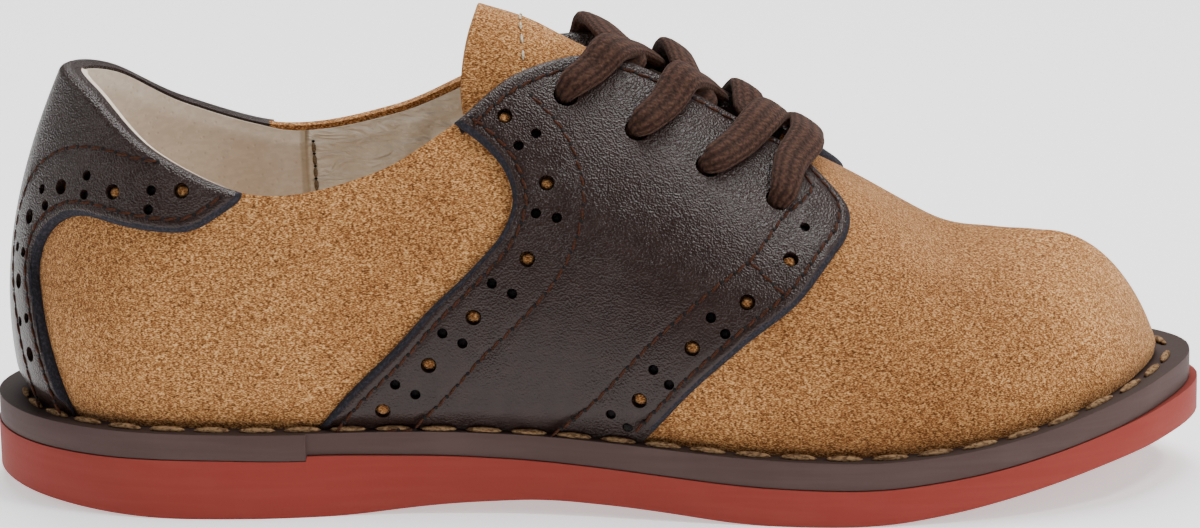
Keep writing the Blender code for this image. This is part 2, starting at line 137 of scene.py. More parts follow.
def unit(rows: Array) -> Array:
    """Rows scaled to length 1."""
    return rows / np.maximum(np.linalg.norm(rows, axis=-1, keepdims=True), 1e-9)


# The last


@dataclass(frozen=True)
class Crease:
    """A soft trough or ridge in the upper, placed as the side view shows it."""

    x: float
    z: float
    turn: float  # degrees of its run from level
    length: float
    width: float
    lift: float  # below 0 for a trough


@dataclass(frozen=True)
class Last:
    """The form that the upper is pulled over, in the same sections as the solids."""

    wall: float = 2.0
    gap: float = 0.3
    overlay_face: float = 1.65
    vamp_u: float = 0.75
    near_u: float = 0.004  # half the way between the points that give a normal
    near_t: float = 0.01
    columns: tuple[str, ...] = (
        "u", "foot_x", "inner", "outer", "top_x", "top_y", "top_z",
        "lean_out", "lean_in", "low", "high", "ledge", "flare", "rise",
    )
    free_ended: tuple[str, ...] = ("u", "inner", "outer", "top_y")
    sections: tuple[tuple[float, ...], ...] = (
        (0.000, -81.6, 0.0, 0.0, -73.8, 0.0, 60.0, 12, 25, 0.36, 0.36, 5.4, 0.0, 0.0),
        (0.080, -77.0, 13.2, 13.2, -69.4, 9.4, 57.8, 11, 22, 0.36, 0.36, 4.3, 0.3, 0.1),
        (0.160, -65.0, 21.8, 22.0, -60.5, 16.8, 50.8, 10, 18, 0.36, 0.36, 3.2, 1.4, 0.5),
        (0.250, -48.0, 23.8, 24.6, -46.0, 20.0, 45.1, 10, 16, 0.36, 0.36, 3.0, 3.2, 1.2),
        (0.360, -28.0, 22.8, 26.4, -30.0, 19.2, 47.7, 11, 20, 0.36, 0.36, 2.2, 3.4, 1.2),
        (0.450, -11.0, 23.4, 28.2, -18.4, 16.6, 54.1, 12, 32, 0.38, 0.38, 2.0, 1.4, 0.5),
        (0.510, 1.0, 25.0, 29.4, -10.0, 11.6, 59.8, 11, 42, 0.40, 0.36, 2.2, 0.0, 0.0),
        (0.565, 11.0, 27.0, 30.2, 0.5, 6.8, 61.4, 10, 47, 0.40, 0.36, 2.4, 0.0, 0.0),
        (0.620, 21.0, 28.8, 30.4, 10.0, 6.0, 58.0, 9, 49, 0.40, 0.36, 2.6, 0.0, 0.0),
        (0.680, 32.0, 30.2, 30.0, 20.0, 5.7, 52.0, 8, 53, 0.40, 0.36, 2.8, 0.0, 0.0),
        (0.725, 40.5, 30.0, 28.4, 28.5, 4.8, 47.0, 7, 62, 0.41, 0.37, 2.9, 0.0, 0.0),
        (0.750, 45.0, 29.4, 27.0, 32.5, 0.0, 45.2, 6, 74, 0.41, 0.36, 3.0, 0.0, 0.0),
        (0.820, 58.5, 26.6, 23.4, 45.5, 0.0, 37.3, 2, 78, 0.42, 0.36, 3.0, 0.0, 0.0),
        (0.885, 69.0, 21.8, 18.2, 55.0, 0.0, 34.8, -4, 84, 0.38, 0.40, 3.5, 0.0, 0.0),
        (0.945, 76.7, 14.4, 11.0, 60.8, 0.0, 34.3, -10, 87, 0.33, 0.40, 4.4, 0.0, 0.0),
        (1.000, 81.2, 1.8, -1.8, 65.6, 0.0, 34.1, -15, 86, 0.28, 0.39, 5.8, 0.0, 0.0),
    )
    profile_columns: tuple[str, ...] = ("x", "tread", "seam", "welt")
    profile: tuple[tuple[float, ...], ...] = (
        (-90.0, 2.1, 8.7, 12.7),
        (-78.0, 1.2, 8.7, 12.6),
        (-70.0, 0.55, 8.6, 12.5),
        (-60.0, 0.0, 8.6, 12.4),
        (-34.0, 0.0, 8.6, 12.0),
        (-20.0, 1.5, 8.5, 11.9),
        (-6.0, 2.3, 7.8, 11.4),
        (8.0, 1.5, 6.7, 10.5),
        (22.0, 0.0, 5.5, 9.5),
        (40.0, 0.0, 5.1, 9.0),
        (50.0, 1.2, 6.0, 9.6),
        (57.0, 2.6, 7.1, 10.6),
        (64.0, 4.2, 8.6, 12.1),
        (71.0, 5.9, 10.3, 14.0),
        (78.0, 7.3, 12.0, 15.9),
        (90.0, 8.9, 13.8, 17.9),
    )
    creases: tuple[Crease, ...] = (
        Crease(-52.0, 33.0, 78.0, 16.0, 5.0, -0.35),
        Crease(-30.0, 36.0, 60.0, 13.0, 5.0, -0.30),
        Crease(-66.0, 25.0, 70.0, 14.0, 6.0, 0.25),
        Crease(52.0, 33.0, 65.0, 12.0, 4.5, -0.35),
        Crease(38.0, 22.0, 40.0, 15.0, 5.0, 0.25),
    )

    def section(self, u: Array) -> dict[str, Array]:
        """The columns of the sections at many u, by name."""
        rows = np.array(self.sections)
        slopes = slopes_of(rows[:, 0], rows)
        for i, name in enumerate(self.columns):
            if name not in self.free_ended:
                slopes[[0, -1], i] = 0.0
        u = np.clip(np.atleast_1d(u), 0.0, 1.0)
        named = dict(zip(self.columns, hermite(rows[:, 0], rows, slopes, u).T))
        named["top_y"] = np.where(u >= self.vamp_u - 1e-6, 0.0, np.maximum(named["top_y"], 0.0))
        return named

    def level(self, x: Array, name: str) -> Array:
        """Height of one line of the sole's side, rounded where its straight runs meet."""
        rows = np.array(self.profile)
        heights = rows[:, self.profile_columns.index(name)]
        spread = np.linspace(-4.0, 4.0, 9)
        return np.mean([np.interp(np.asarray(x) + d, rows[:, 0], heights) for d in spread], axis=0)

    def foot(self, side: Array, u: Array) -> Array:
        """Where the upper meets the welt, in plan."""
        row = self.section(u)
        half = np.where(np.asarray(side) < 0, row["inner"], row["outer"])
        return np.stack([row["foot_x"], side * half], -1)

    def outline(self, side: Array, u: Array, out: Array) -> Array:
        """The foot line in plan, moved outwards.

        Args:
            side: -1 or 1 for each place.
            u: places along the welt.
            out: how far to move each.

        Returns:
            X and Y for each place.
        """
        u = np.atleast_1d(np.asarray(u, float))
        side = np.broadcast_to(np.asarray(side, float), u.shape)
        ahead, behind = np.minimum(u + self.near_u, 1.0), np.maximum(u - self.near_u, 0.0)
        along = self.foot(side, ahead) - self.foot(side, behind)
        along[u <= 0.0] = np.stack([0 * side, side], -1)[u <= 0.0]
        along[u >= 1.0] = np.stack([0 * side, -side], -1)[u >= 1.0]
        along = unit(along)
        square = np.stack([-along[:, 1], along[:, 0]], -1) * side[:, None]
        return self.foot(side, u) + np.atleast_1d(out)[:, None] * square

    def rib(self, side: Array, u: Array, t: Array) -> Array:
        """The upper's outer curve: one arched rib at each u, from the foot at t 0 to the top at t 1."""
        row = self.section(u)
        plan = self.foot(side, u)
        out = np.radians(row["lean_out"])
        lean = np.radians(row["lean_in"])
        dip = self.wall * np.maximum(-np.sin(out), 0.0)
        foot = np.column_stack([plan, self.level(plan[:, 0], "welt") + self.gap + dip])
        outer = np.asarray(side) > 0
        top_y = row["top_y"] + np.where(outer, row["flare"], 0.0)
        top_z = row["top_z"] + np.where(outer, row["rise"], 0.0)
        top = np.column_stack([row["top_x"], side * top_y, top_z])
        reach = np.linalg.norm(top - foot, axis=1)[:, None]
        inward = top - foot
        inward[:, 2] = 0.0
        inward = unit(inward)
        upward = np.array([0.0, 0.0, 1.0])
        rising = upward * np.cos(out)[:, None] - inward * np.sin(out)[:, None]
        closing = upward * np.cos(lean)[:, None] + inward * np.sin(lean)[:, None]
        low = foot + reach * row["low"][:, None] * rising
        high = top - reach * row["high"][:, None] * closing
        t = np.asarray(t, float)[:, None]
        s = 1.0 - t
        return foot * s**3 + low * 3 * s * s * t + high * 3 * s * t * t + top * t**3

    def normal(self, side: Array, u: Array, t: Array) -> Array:
        """The way out of the upper at many places."""
        ahead, behind = np.minimum(u + self.near_u, 1.0), np.maximum(u - self.near_u, 0.0)
        along = self.rib(side, ahead, t) - self.rib(side, behind, t)
        back = u <= 0.0
        along[back] = np.column_stack([0 * side, side, 0 * side])[back]
        held = np.clip(t, 0.0, 1.0)
        above, below = np.minimum(held + self.near_t, 1.0), np.maximum(held - self.near_t, 0.0)
        climb = self.rib(side, u, above) - self.rib(side, u, below)
        return unit(-side[:, None] * np.cross(along, climb))

    def skin(self, side: Array, u: Array, t: Array, lift: Array) -> Array:
        """Points of the upper's outer curve, moved outwards.

        Args:
            side: -1 or 1 for each place.
            u: places along the welt.
            t: places up the rib.
            lift: how far out each point is.

        Returns:
            A point for each place.
        """
        u = np.atleast_1d(np.asarray(u, float))
        t = np.broadcast_to(np.asarray(t, float), u.shape)
        side = np.broadcast_to(np.asarray(side, float), u.shape)
        base = self.rib(side, u, t)
        rise = np.zeros(len(u))
        for fold in self.creases:
            turn = math.radians(fold.turn)
            dx = base[:, 0] - fold.x
            dz = base[:, 2] - fold.z
            run = (dx * math.cos(turn) + dz * math.sin(turn)) / fold.length
            off = (dz * math.cos(turn) - dx * math.sin(turn)) / fold.width
            rise += fold.lift * np.exp(-run * run - off * off)
        return base + (np.asarray(lift, float) + rise)[:, None] * self.normal(side, u, t)

    def locate(self, side: Side, spots: Sequence, lift: float, guess: tuple[float, float]) -> Array:
        """The u and t of the skin points that a side view shows at x, z.

        Args:
            side: which side of the foot.
            spots: rows of x and z.
            lift: height over the suede.
            guess: u and t to start from.

        Returns:
            A row of u and t for each spot.
        """
        places = []
        sides = np.full(3, side.value)
        for spot in spots:
            place = np.array(guess, float)
            for _ in range(12):
                near = place + np.array([[0, 0], [NUDGE, 0], [0, -NUDGE]])
                seen = self.skin(sides, near[:, 0], near[:, 1], np.full(3, lift))[:, [0, 2]]
                turn = np.column_stack([(seen[1] - seen[0]) / NUDGE, (seen[2] - seen[0]) / -NUDGE])
                move = np.linalg.solve(turn, np.array(spot) - seen[0])
                place = np.clip(place + np.clip(move, -0.08, 0.08), 0.0, 1.0)
            places.append(place)
            guess = place
        return np.array(places)

    def settle(self, side: Side, points: Array, places: Array, lift: float) -> Array:
        """The u and t of the skin points nearest to given points.

        Args:
            side: which side of the foot.
            points: points near the skin.
            places: u and t to start from.
            lift: height over the suede.

        Returns:
            A row of u and t for each point.
        """
        sign = np.full(len(points), float(side.value))
        lifts = np.full(len(points), lift)
        places = np.array(places, float)
        for _ in range(10):
            u, t = places.T
            here = self.skin(sign, u, t, lifts)
            by_u = (self.skin(sign, u + NUDGE, t, lifts) - here) / NUDGE
            by_t = (self.skin(sign, u, t - NUDGE, lifts) - here) / -NUDGE
            miss = points - here
            uu, tt, ut = (by_u**2).sum(1), (by_t**2).sum(1), (by_u * by_t).sum(1)
            mu, mt = (by_u * miss).sum(1), (by_t * miss).sum(1)
            bottom = np.maximum(uu * tt - ut * ut, 1e-9)
            move = np.column_stack([(mu * tt - mt * ut) / bottom, (mt * uu - mu * ut) / bottom])
            places = np.clip(places + np.clip(move, -0.05, 0.05), 0.0, 1.0)
        return places


@dataclass
class SkinLine:
    """A line drawn on one side of the upper."""

    last: Last
    side: Side
    places: Array
    lift: float

    @property
    def points(self) -> Array:
        """The line's points in space."""
        sign = np.full(len(self.places), float(self.side.value))
        return self.last.skin(sign, self.places[:, 0], self.places[:, 1], np.full(len(sign), self.lift))

    @property
    def lengths(self) -> Array:
        """How far along the line each point is."""
        return np.concatenate([[0.0], np.cumsum(np.linalg.norm(np.diff(self.points, axis=0), axis=1))])

    def normals(self) -> Array:
        """The way out of the upper along the line."""
        sign = np.full(len(self.places), float(self.side.value))
        return self.last.normal(sign, self.places[:, 0], self.places[:, 1])

    def moved(self, ahead: float | Array) -> SkinLine:
        """The line moved square to itself, to the toe's side of its upward run where ahead is above 0."""
        points = self.points
        runs = unit(np.gradient(points, axis=0))
        aside = unit(np.cross(self.normals(), runs)) * self.side.value
        far = np.broadcast_to(np.asarray(ahead, float), len(points))[:, None]
        places = self.last.settle(self.side, points + far * aside, self.places, self.lift)
        return SkinLine(self.last, self.side, places, self.lift)

    def cut(self, start: float, end: float, of: SkinLine) -> SkinLine:
        """The stretch that lies beside another line from start to end, in millimetres along that one."""
        at = np.linspace(start, end, max(int(2 * abs(end - start)), 6))
        places = np.column_stack([np.interp(at, of.lengths, self.places[:, i]) for i in (0, 1)])
        return SkinLine(self.last, self.side, places, self.lift)

    def spread(self, pitch: float) -> tuple[Array, Array, Array]:
        """Evenly spaced points with their runs and normals.

        Args:
            pitch: about how far apart.

        Returns:
            Points, runs and normals.
        """
        lengths = self.lengths
        count = max(int(round(lengths[-1] / pitch)), 1)
        at = (np.arange(count) + 0.5) / count * lengths[-1]
        return self.read(at)

    def read(self, at: Array, of: SkinLine | None = None) -> tuple[Array, Array, Array]:
        """Points, runs and normals at given lengths along the line, or along the one it was moved from."""
        points, lengths, normals = self.points, (of or self).lengths, self.normals()
        runs = unit(np.gradient(points, axis=0))
        found = [
            np.column_stack([np.interp(at, lengths, rows[:, i]) for i in range(3)])
            for rows in (points, runs, normals)
        ]
        return found[0], unit(found[1]), unit(found[2])


# Shader nodes


class Wire:
    """A node's output that takes part in Python arithmetic."""

    def __init__(self, recipe: Recipe, socket: bpy.types.NodeSocket) -> None:
        """Keeps the socket and the recipe that it belongs to."""
        self.recipe = recipe
        self.socket = socket

    def sum(self, operation: str, one: object, two: object = 0.0) -> Wire:
        """A Math node on two values."""
        return self.recipe.node("ShaderNodeMath", {"operation": operation}, {0: one, 1: two})

    def __add__(self, other: object) -> Wire:
        """Adds."""
        return self.sum("ADD", self, other)

    def __radd__(self, other: object) -> Wire:
        """Adds, from the right."""
        return self.sum("ADD", other, self)

    def __sub__(self, other: object) -> Wire:
        """Subtracts."""
        return self.sum("SUBTRACT", self, other)

    def __rsub__(self, other: object) -> Wire:
        """Subtracts, from the right."""
        return self.sum("SUBTRACT", other, self)

    def __mul__(self, other: object) -> Wire:
        """Multiplies."""
        return self.sum("MULTIPLY", self, other)

    def __rmul__(self, other: object) -> Wire:
        """Multiplies, from the right."""
        return self.sum("MULTIPLY", other, self)

    def power(self, other: object) -> Wire:
        """Raises to a power."""
        return self.sum("POWER", self, other)

    def sine(self) -> Wire:
        """The sine of an angle."""
        return self.sum("SINE", self)

    def size(self) -> Wire:
        """The value without its sign."""
        return self.sum("ABSOLUTE", self)

    def step(self, low: float, high: float) -> Wire:
        """A soft step from 0 at low to 1 at high."""
        return self.recipe.node(
            "ShaderNodeMapRange",
            {"interpolation_type": "SMOOTHSTEP"},
            {"Value": self, "From Min": low, "From Max": high},
        )


class Recipe:
    """The node tree of one finish. Its coordinates are the piece's own, in millimetres."""

    def __init__(self, name: str) -> None:
        """Starts a material with a bare Principled shader."""
        self.material = bpy.data.materials.new(name)
        self.material.use_nodes = True
        self.tree = self.material.node_tree
        self.shader = self.tree.nodes["Principled BSDF"]

    def node(self, kind: str, settings: dict, inputs: dict, output: object = 0) -> Wire:
        """Adds a node.

        Args:
            kind: the node's type.
            settings: properties that are set first, and a ramp's stops.
            inputs: values or wires of its sockets, by name or place.
            output: the socket to hand on.

        Returns:
            The chosen output.
        """
        made = self.tree.nodes.new(kind)
        for name, value in settings.items():
            if name == "stops":
                self.set_stops(made.color_ramp, value)
            else:
                setattr(made, name, value)
        for name, value in inputs.items():
            self.feed(made.inputs[name], value)
        return Wire(self, made.outputs[output])

    def feed(self, socket: bpy.types.NodeSocket, value: object) -> None:
        """Links a wire to a socket, or sets its value."""
        if isinstance(value, Wire):
            self.tree.links.new(value.socket, socket)
        elif isinstance(value, tuple) and len(value) == 3 and socket.type == "RGBA":
            socket.default_value = (*value, 1.0)
        else:
            socket.default_value = value

    @staticmethod
    def set_stops(ramp: bpy.types.ColorRamp, stops: Sequence) -> None:
        """Sets a ramp's stops, rows of place and colour."""
        while len(ramp.elements) < len(stops):
            ramp.elements.new(1.0)
        for element, (place, colour) in zip(ramp.elements, stops):
            element.position = place
            element.color = (*colour, 1.0)

    def place(self, scale: tuple[float, float, float] = (1.0, 1.0, 1.0), turn: float = 0.0) -> Wire:
        """Object coordinates in millimetres, stretched and then turned about Y."""
        here = self.node("ShaderNodeTexCoord", {}, {}, "Object")
        factors = tuple(1000.0 * s for s in scale)
        turned = (0.0, math.radians(turn), 0.0)
        return self.node("ShaderNodeMapping", {}, {"Vector": here, "Scale": factors, "Rotation": turned})

    def axis(self, name: str) -> Wire:
        """One object coordinate in millimetres."""
        return self.node("ShaderNodeSeparateXYZ", {}, {0: self.place()}, name)

    def noise(self, size: float, detail: float = 2.0, place: Wire | None = None, warp: float = 0.0) -> Wire:
        """Noise with lumps of about this size in millimetres."""
        return self.node(
            "ShaderNodeTexNoise",
            {},
            {"Vector": place or self.place(), "Scale": 1.0 / size, "Detail": detail, "Distortion": warp},
        )

    def cells(self, size: float, feature: str = "F1") -> Wire:
        """Distance to the nearest of scattered points about this far apart."""
        return self.node(
            "ShaderNodeTexVoronoi",
            {"feature": feature},
            {"Vector": self.place(), "Scale": 1.0 / size},
            "Distance",
        )

    def blend(self, share: object, one: object, two: object, mode: str = "MIX") -> Wire:
        """Mixes two colours."""
        made = self.tree.nodes.new("ShaderNodeMix")
        made.data_type = "RGBA"
        made.blend_type = mode
        for socket, value in zip((made.inputs[0], made.inputs[6], made.inputs[7]), (share, one, two)):
            self.feed(socket, value)
        return Wire(self, made.outputs[2])

    def relief(self, height: Wire, depth: float, strength: float = 1.0, under: Wire | None = None) -> Wire:
        """A bump of this depth in millimetres, over another where one is given."""
        inputs = {"Height": height, "Distance": depth * MM, "Strength": strength}
        if under is not None:
            inputs["Normal"] = under
        return self.node("ShaderNodeBump", {}, inputs)

    def done(self, **sockets: object) -> bpy.types.Material:
        """Feeds the shader's sockets, named with underscores for blanks, and hands on the material."""
        for name, value in sockets.items():
            self.feed(self.shader.inputs[name.replace("_", " ")], value)
        return self.material


# Finishes


@dataclass(frozen=True)
class Suede:
    """Napped buck suede, speckled with short fibres and clouded where it has been brushed, with painted
    light on the top of the toe and painted shade across the vamp and low down by the welt.
    """

    name: str = "tan_suede"
    dark: Colour = (0.115, 0.041, 0.011)
    mid: Colour = (0.365, 0.150, 0.046)
    light: Colour = (0.800, 0.460, 0.190)
    fibre: float = 0.17
    cloud: float = 16.0

    def build(self) -> bpy.types.Material:
        """The material."""
        r = Recipe(self.name)
        nap = r.noise(self.fibre, 1.0, r.place((0.52, 0.9, 1.45)))
        tuft = r.noise(self.fibre * 2.6, 1.0)
        fleck = nap * 0.68 + tuft * 0.32
        colour = r.node(
            "ShaderNodeValToRGB",
            {"stops": [(0.37, self.dark), (0.50, self.mid), (0.64, self.light)]},
            {"Fac": fleck},
        )
        brushed = r.noise(self.cloud, 3.0, warp=0.6).step(0.34, 0.68)
        colour = r.blend(brushed * 0.36, colour, (0.60, 0.50, 0.42), "MULTIPLY")
        # darker across the vamp round x 45: painted shade over its dip ahead of the throat
        vamp_shade = 1 - (r.axis("X") - 45.0).size().step(5.0, 28.0)
        colour = r.blend(vamp_shade * 0.46, colour, (0.55, 0.48, 0.42), "MULTIPLY")
        # lighter on the top of the toe: painted light where the lamps fall on it
        toe = r.axis("X").step(54.0, 76.0) * r.axis("Z").step(14.0, 30.0)
        colour = r.blend(toe * 0.55, colour, (1.30, 1.36, 1.42), "MULTIPLY")
        # darker low down by the welt: painted shade where the suede turns in above the welt
        welt_shade = 1 - r.axis("Z").step(11.0, 18.0)
        colour = r.blend(welt_shade * 0.30, colour, (0.50, 0.42, 0.34), "MULTIPLY")
        bump = r.relief(fleck, 0.30, 0.9)
        return r.done(
            Base_Color=colour, Roughness=0.96, Normal=bump, Specular_IOR_Level=0.12,
            Sheen_Weight=0.22, Sheen_Roughness=0.45, Sheen_Tint=(0.95, 0.78, 0.58),
        )


@dataclass(frozen=True)
class GrainLeather:
    """Dark brown leather with a pebbled grain and a soft shine."""

    name: str = "brown_leather"
    colour: Colour = (0.0200, 0.0100, 0.0080)
    worn: Colour = (0.0265, 0.0140, 0.0115)
    pebble: float = 0.26

    def build(self) -> bpy.types.Material:
        """The material."""
        r = Recipe(self.name)
        warped = r.noise(2.2, 2.0)
        cells = r.cells(self.pebble, "SMOOTH_F1")
        pores = r.noise(0.24, 2.0)
        flexed = r.noise(11.0, 2.0).step(0.42, 0.66) * 0.4 + r.axis("Z").step(22.0, 40.0) * 0.6
        grain = cells * (0.20 + flexed * 0.75) + pores * 0.25
        colour = r.blend(warped.step(0.35, 0.7), self.colour, self.worn)
        rough = 0.22 + warped * 0.10 + pores * 0.08
        swell = r.relief(r.noise(6.0, 1.0), 0.3, 0.04)
        return r.done(
            Base_Color=colour, Roughness=rough, Normal=r.relief(grain, 0.24, 1.0, swell),
            Specular_IOR_Level=0.30,
        )


@dataclass(frozen=True)
class CutEdge:
    """The dyed, blue-black cut edge of the leather."""

    name: str = "dyed_edge"
    colour: Colour = (0.0115, 0.0108, 0.0150)
    fuzz: Colour = (0.032, 0.029, 0.039)

    def build(self) -> bpy.types.Material:
        """The material."""
        r = Recipe(self.name)
        raw = r.noise(0.36, 3.0)
        colour = r.blend(raw.step(0.42, 0.70), self.colour, self.fuzz)
        return r.done(
            Base_Color=colour, Roughness=0.85, Normal=r.relief(raw, 0.22, 0.8), Specular_IOR_Level=0.25
        )


@dataclass(frozen=True)
class Lining:
    """Beige lining: matte pigskin round the heel, smoother wrinkled leather ahead of its seam, paler there
    as painted light from above, with a painted shadow along the seam's step.
    """

    name: str = "beige_leather"
    heel: Colour = (0.77, 0.66, 0.54)
    # paler ahead of the seam: painted light where light falls in from above
    fore: Colour = (0.92, 0.84, 0.72)
    seam_x: float = -43.0

    def build(self) -> bpy.types.Material:
        """The material."""
        r = Recipe(self.name)
        ahead = r.axis("X").step(self.seam_x - 0.4, self.seam_x + 0.4)
        cloud = r.noise(9.0, 4.0)
        colour = r.blend(ahead, self.heel, self.fore)
        colour = r.blend(cloud.step(0.35, 0.7) * 0.35, colour, (0.74, 0.66, 0.58), "MULTIPLY")
        mottle = r.noise(1.3, 3.0, r.place((1.0, 1.0, 1.8), 20.0)).step(0.42, 0.62)
        colour = r.blend((1 - mottle) * 0.16, colour, (0.55, 0.47, 0.40), "MULTIPLY")
        pores = r.cells(1.1).step(0.0, 0.30)
        colour = r.blend((1 - pores) * 0.14, colour, (0.55, 0.42, 0.32), "MULTIPLY")
        # a dark band just behind the seam: painted shadow of the step where the heel lining lies over the
        # fore lining
        seam_shade = 1 - (r.axis("X") - (self.seam_x - 0.5)).size().step(0.3, 0.75)
        colour = r.blend(seam_shade * 0.55, colour, (0.55, 0.48, 0.34), "MULTIPLY")
        folds = r.noise(2.6, 3.0, r.place((0.55, 1.0, 1.6), -38.0), 0.8)
        bump = r.relief(folds * ahead, 1.5, 0.9)
        return r.done(Base_Color=colour, Roughness=0.8, Normal=r.relief(pores, 0.10, 0.4, bump))


@dataclass(frozen=True)
class Rubber:
    """Moulded rubber with a fine bloom, rubbed lighter in places, and darker on faces that look up as
    painted shade on its ledges.
    """

    name: str
    colour: Colour
    bloom: Colour
    # painted shade on faces that look up, such as the ledge under the upper
    top: Colour
    roughness: float = 0.62

    def build(self) -> bpy.types.Material:
        """The material."""
        r = Recipe(self.name)
        normal = r.node("ShaderNodeNewGeometry", {}, {}, "Normal")
        facing = r.node("ShaderNodeSeparateXYZ", {}, {0: normal}, "Z")
        drawn = r.noise(1.6, 4.0, r.place((0.10, 0.10, 1.6)))
        speck = r.noise(0.45, 3.0)
        rubbed = r.noise(13.0, 3.0).step(0.48, 0.72)
        colour = r.blend(drawn.step(0.35, 0.75) * 0.5 + rubbed * 0.35, self.colour, self.bloom)
        # painted shade where the face looks up
        colour = r.blend(facing.step(0.55, 0.9), colour, self.top)
        bump = r.relief(speck * 0.6 + drawn * 0.4, 0.10, 0.35)
        rough = self.roughness + speck * 0.12
        return r.done(Base_Color=colour, Roughness=rough, Normal=bump, Specular_IOR_Level=0.25)


@dataclass(frozen=True)
class Thread:
    """Twisted sewing thread."""

    name: str
    colour: Colour
    shade: Colour
    twist: float = 0.35

    def build(self) -> bpy.types.Material:
        """The material."""
        r = Recipe(self.name)
        strands = r.noise(self.twist, 2.0, r.place((1.0, 1.0, 2.2), 40.0), 0.5)
        colour = r.blend(strands.step(0.35, 0.62), self.shade, self.colour)
        bump = r.relief(strands, 0.12, 0.6)
        return r.done(Base_Color=colour, Roughness=0.8, Normal=bump, Specular_IOR_Level=0.15)


@dataclass(frozen=True)
class Cotton:
    """Flat woven lace: ribs along it, crossed by the weave. Its UV map is millimetres along and across."""

    name: str = "brown_cotton"
    colour: Colour = (0.030, 0.0118, 0.0066)
    shade: Colour = (0.0085, 0.0034, 0.0022)
    lit: Colour = (0.080, 0.037, 0.023)
    rib: float = 0.80
    stitch: float = 1.30

    def build(self) -> bpy.types.Material:
        """The material."""
        r = Recipe(self.name)
        here = r.node("ShaderNodeUVMap", {"uv_map": "weave"}, {})
        along = r.node("ShaderNodeSeparateXYZ", {}, {0: here}, "X")
        across = r.node("ShaderNodeSeparateXYZ", {}, {0: here}, "Y")
        ribs = (across * (math.tau / self.rib)).sine() * 0.5 + 0.5
        slant = (across * (math.pi / self.rib)).sine().size() * 0.9
        weave = ((along + slant) * (math.tau / self.stitch)).sine() * 0.5 + 0.5
        fuzz = r.noise(0.42, 2.0)
        height = ribs.power(0.7) * 0.42 + weave * 0.18 + fuzz * 0.7
        shown = height * 0.55 + fuzz * 0.35
        colour = r.node(
            "ShaderNodeValToRGB",
            {"stops": [(0.28, self.shade), (0.54, self.colour), (0.84, self.lit)]},
            {"Fac": shown},
        )
        return r.done(
            Base_Color=colour, Roughness=0.92, Normal=r.relief(height, 0.30, 0.7),
            Specular_IOR_Level=0.2, Sheen_Weight=0.08, Sheen_Roughness=0.5, Sheen_Tint=(0.8, 0.5, 0.4),
        )


@dataclass(frozen=True)
class Plain:
    """A pale studio surface that is lit from below, as a light table is."""

    name: str
    colour: Colour
    glow: float

    def build(self) -> bpy.types.Material:
        """The material."""
        return Recipe(self.name).done(
            Base_Color=self.colour, Roughness=0.9, Emission_Color=self.colour, Emission_Strength=self.glow
        )


class Rack:
    """Every finish of the shoe, made once."""

    def __init__(self) -> None:
        """Builds the materials."""
        self.suede = Suede().build()
        self.leather = GrainLeather().build()
        self.edge = CutEdge().build()
        self.lining = Lining().build()
        self.insole = Lining("insole_leather", seam_x=200.0).build()
        # the last colour of each rubber is painted shade on its faces that look up
        self.welt = Rubber(
            "brown_rubber", (0.066, 0.037, 0.033), (0.086, 0.052, 0.047), (0.034, 0.0185, 0.0150)
        ).build()
        self.sole = Rubber(
            "red_rubber", (0.238, 0.0290, 0.0200), (0.262, 0.041, 0.030), (0.20, 0.030, 0.021)
        ).build()
        self.lace = Cotton().build()
        self.upper_thread = Thread(
            "reddish_thread", (0.066, 0.0205, 0.0085), (0.024, 0.0078, 0.0038)
        ).build()
        self.welt_thread = Thread("welt_thread", (0.28, 0.170, 0.085), (0.085, 0.042, 0.019), 0.6).build()
        self.pale_thread = Thread("pale_thread", (0.72, 0.62, 0.46), (0.36, 0.27, 0.17)).build()
        self.seam_thread = Thread("seam_thread", (0.26, 0.18, 0.11), (0.11, 0.07, 0.04)).build()
        # near-black, for painted shade in the needle holes and deep in the small punched holes
        self.pit_shade = CutEdge("painted_hole_shade", (0.006, 0.004, 0.004), (0.012, 0.009, 0.009)).build()


# Mesh helpers


def new_piece(
    name: str, bm: bmesh.types.BMesh, materials: Sequence[bpy.types.Material]
) -> bpy.types.Object:
    """A smooth-shaded piece from a bmesh drawn in millimetres.

    Args:
        name: the piece's name.
        bm: its bmesh, which is used up.
        materials: its slots.

    Returns:
        The object, at the origin.
    """
    bmesh.ops.scale(bm, vec=(MM, MM, MM), verts=bm.verts[:])
    for face in bm.faces:
        face.smooth = True
    mesh = bpy.data.meshes.new(name)
    bm.to_mesh(mesh)
    bm.free()
    for material in materials:
        mesh.materials.append(material)
    piece = bpy.data.objects.new(name, mesh)
    bpy.context.scene.collection.objects.link(piece)
    return piece


def settle_modifiers(piece: bpy.types.Object) -> None:
    """Replaces a piece's mesh by the result of its modifiers."""
    graph = bpy.context.evaluated_depsgraph_get()
    mesh = bpy.data.meshes.new_from_object(piece.evaluated_get(graph))
    old = piece.data
    piece.modifiers.clear()
    piece.data = mesh
    bpy.data.meshes.remove(old)


def punch(piece: bpy.types.Object, holes: Sequence[tuple[Array, Array, float]], depth: float) -> None:
    """Cuts round holes through a piece.

    Args:
        piece: what is cut.
        holes: rows of centre, normal and radius, in millimetres.
        depth: how far each punch reaches to either side of its centre.
    """
    bm = bmesh.new()
    for centre, normal, radius in holes:
        turn = Vector(normal).to_track_quat("Z", "X").to_matrix().to_4x4()
        bmesh.ops.create_cone(
            bm, cap_ends=True, segments=16, radius1=radius, radius2=radius, depth=2 * depth,
            matrix=Matrix.Translation(Vector(centre)) @ turn,
        )
    tool = new_piece("punch", bm, list(piece.data.materials))
    cut = piece.modifiers.new("holes", "BOOLEAN")
    cut.object = tool
    cut.operation = "DIFFERENCE"
    cut.solver = "MANIFOLD"
    settle_modifiers(piece)
    bpy.data.objects.remove(tool, do_unlink=True)


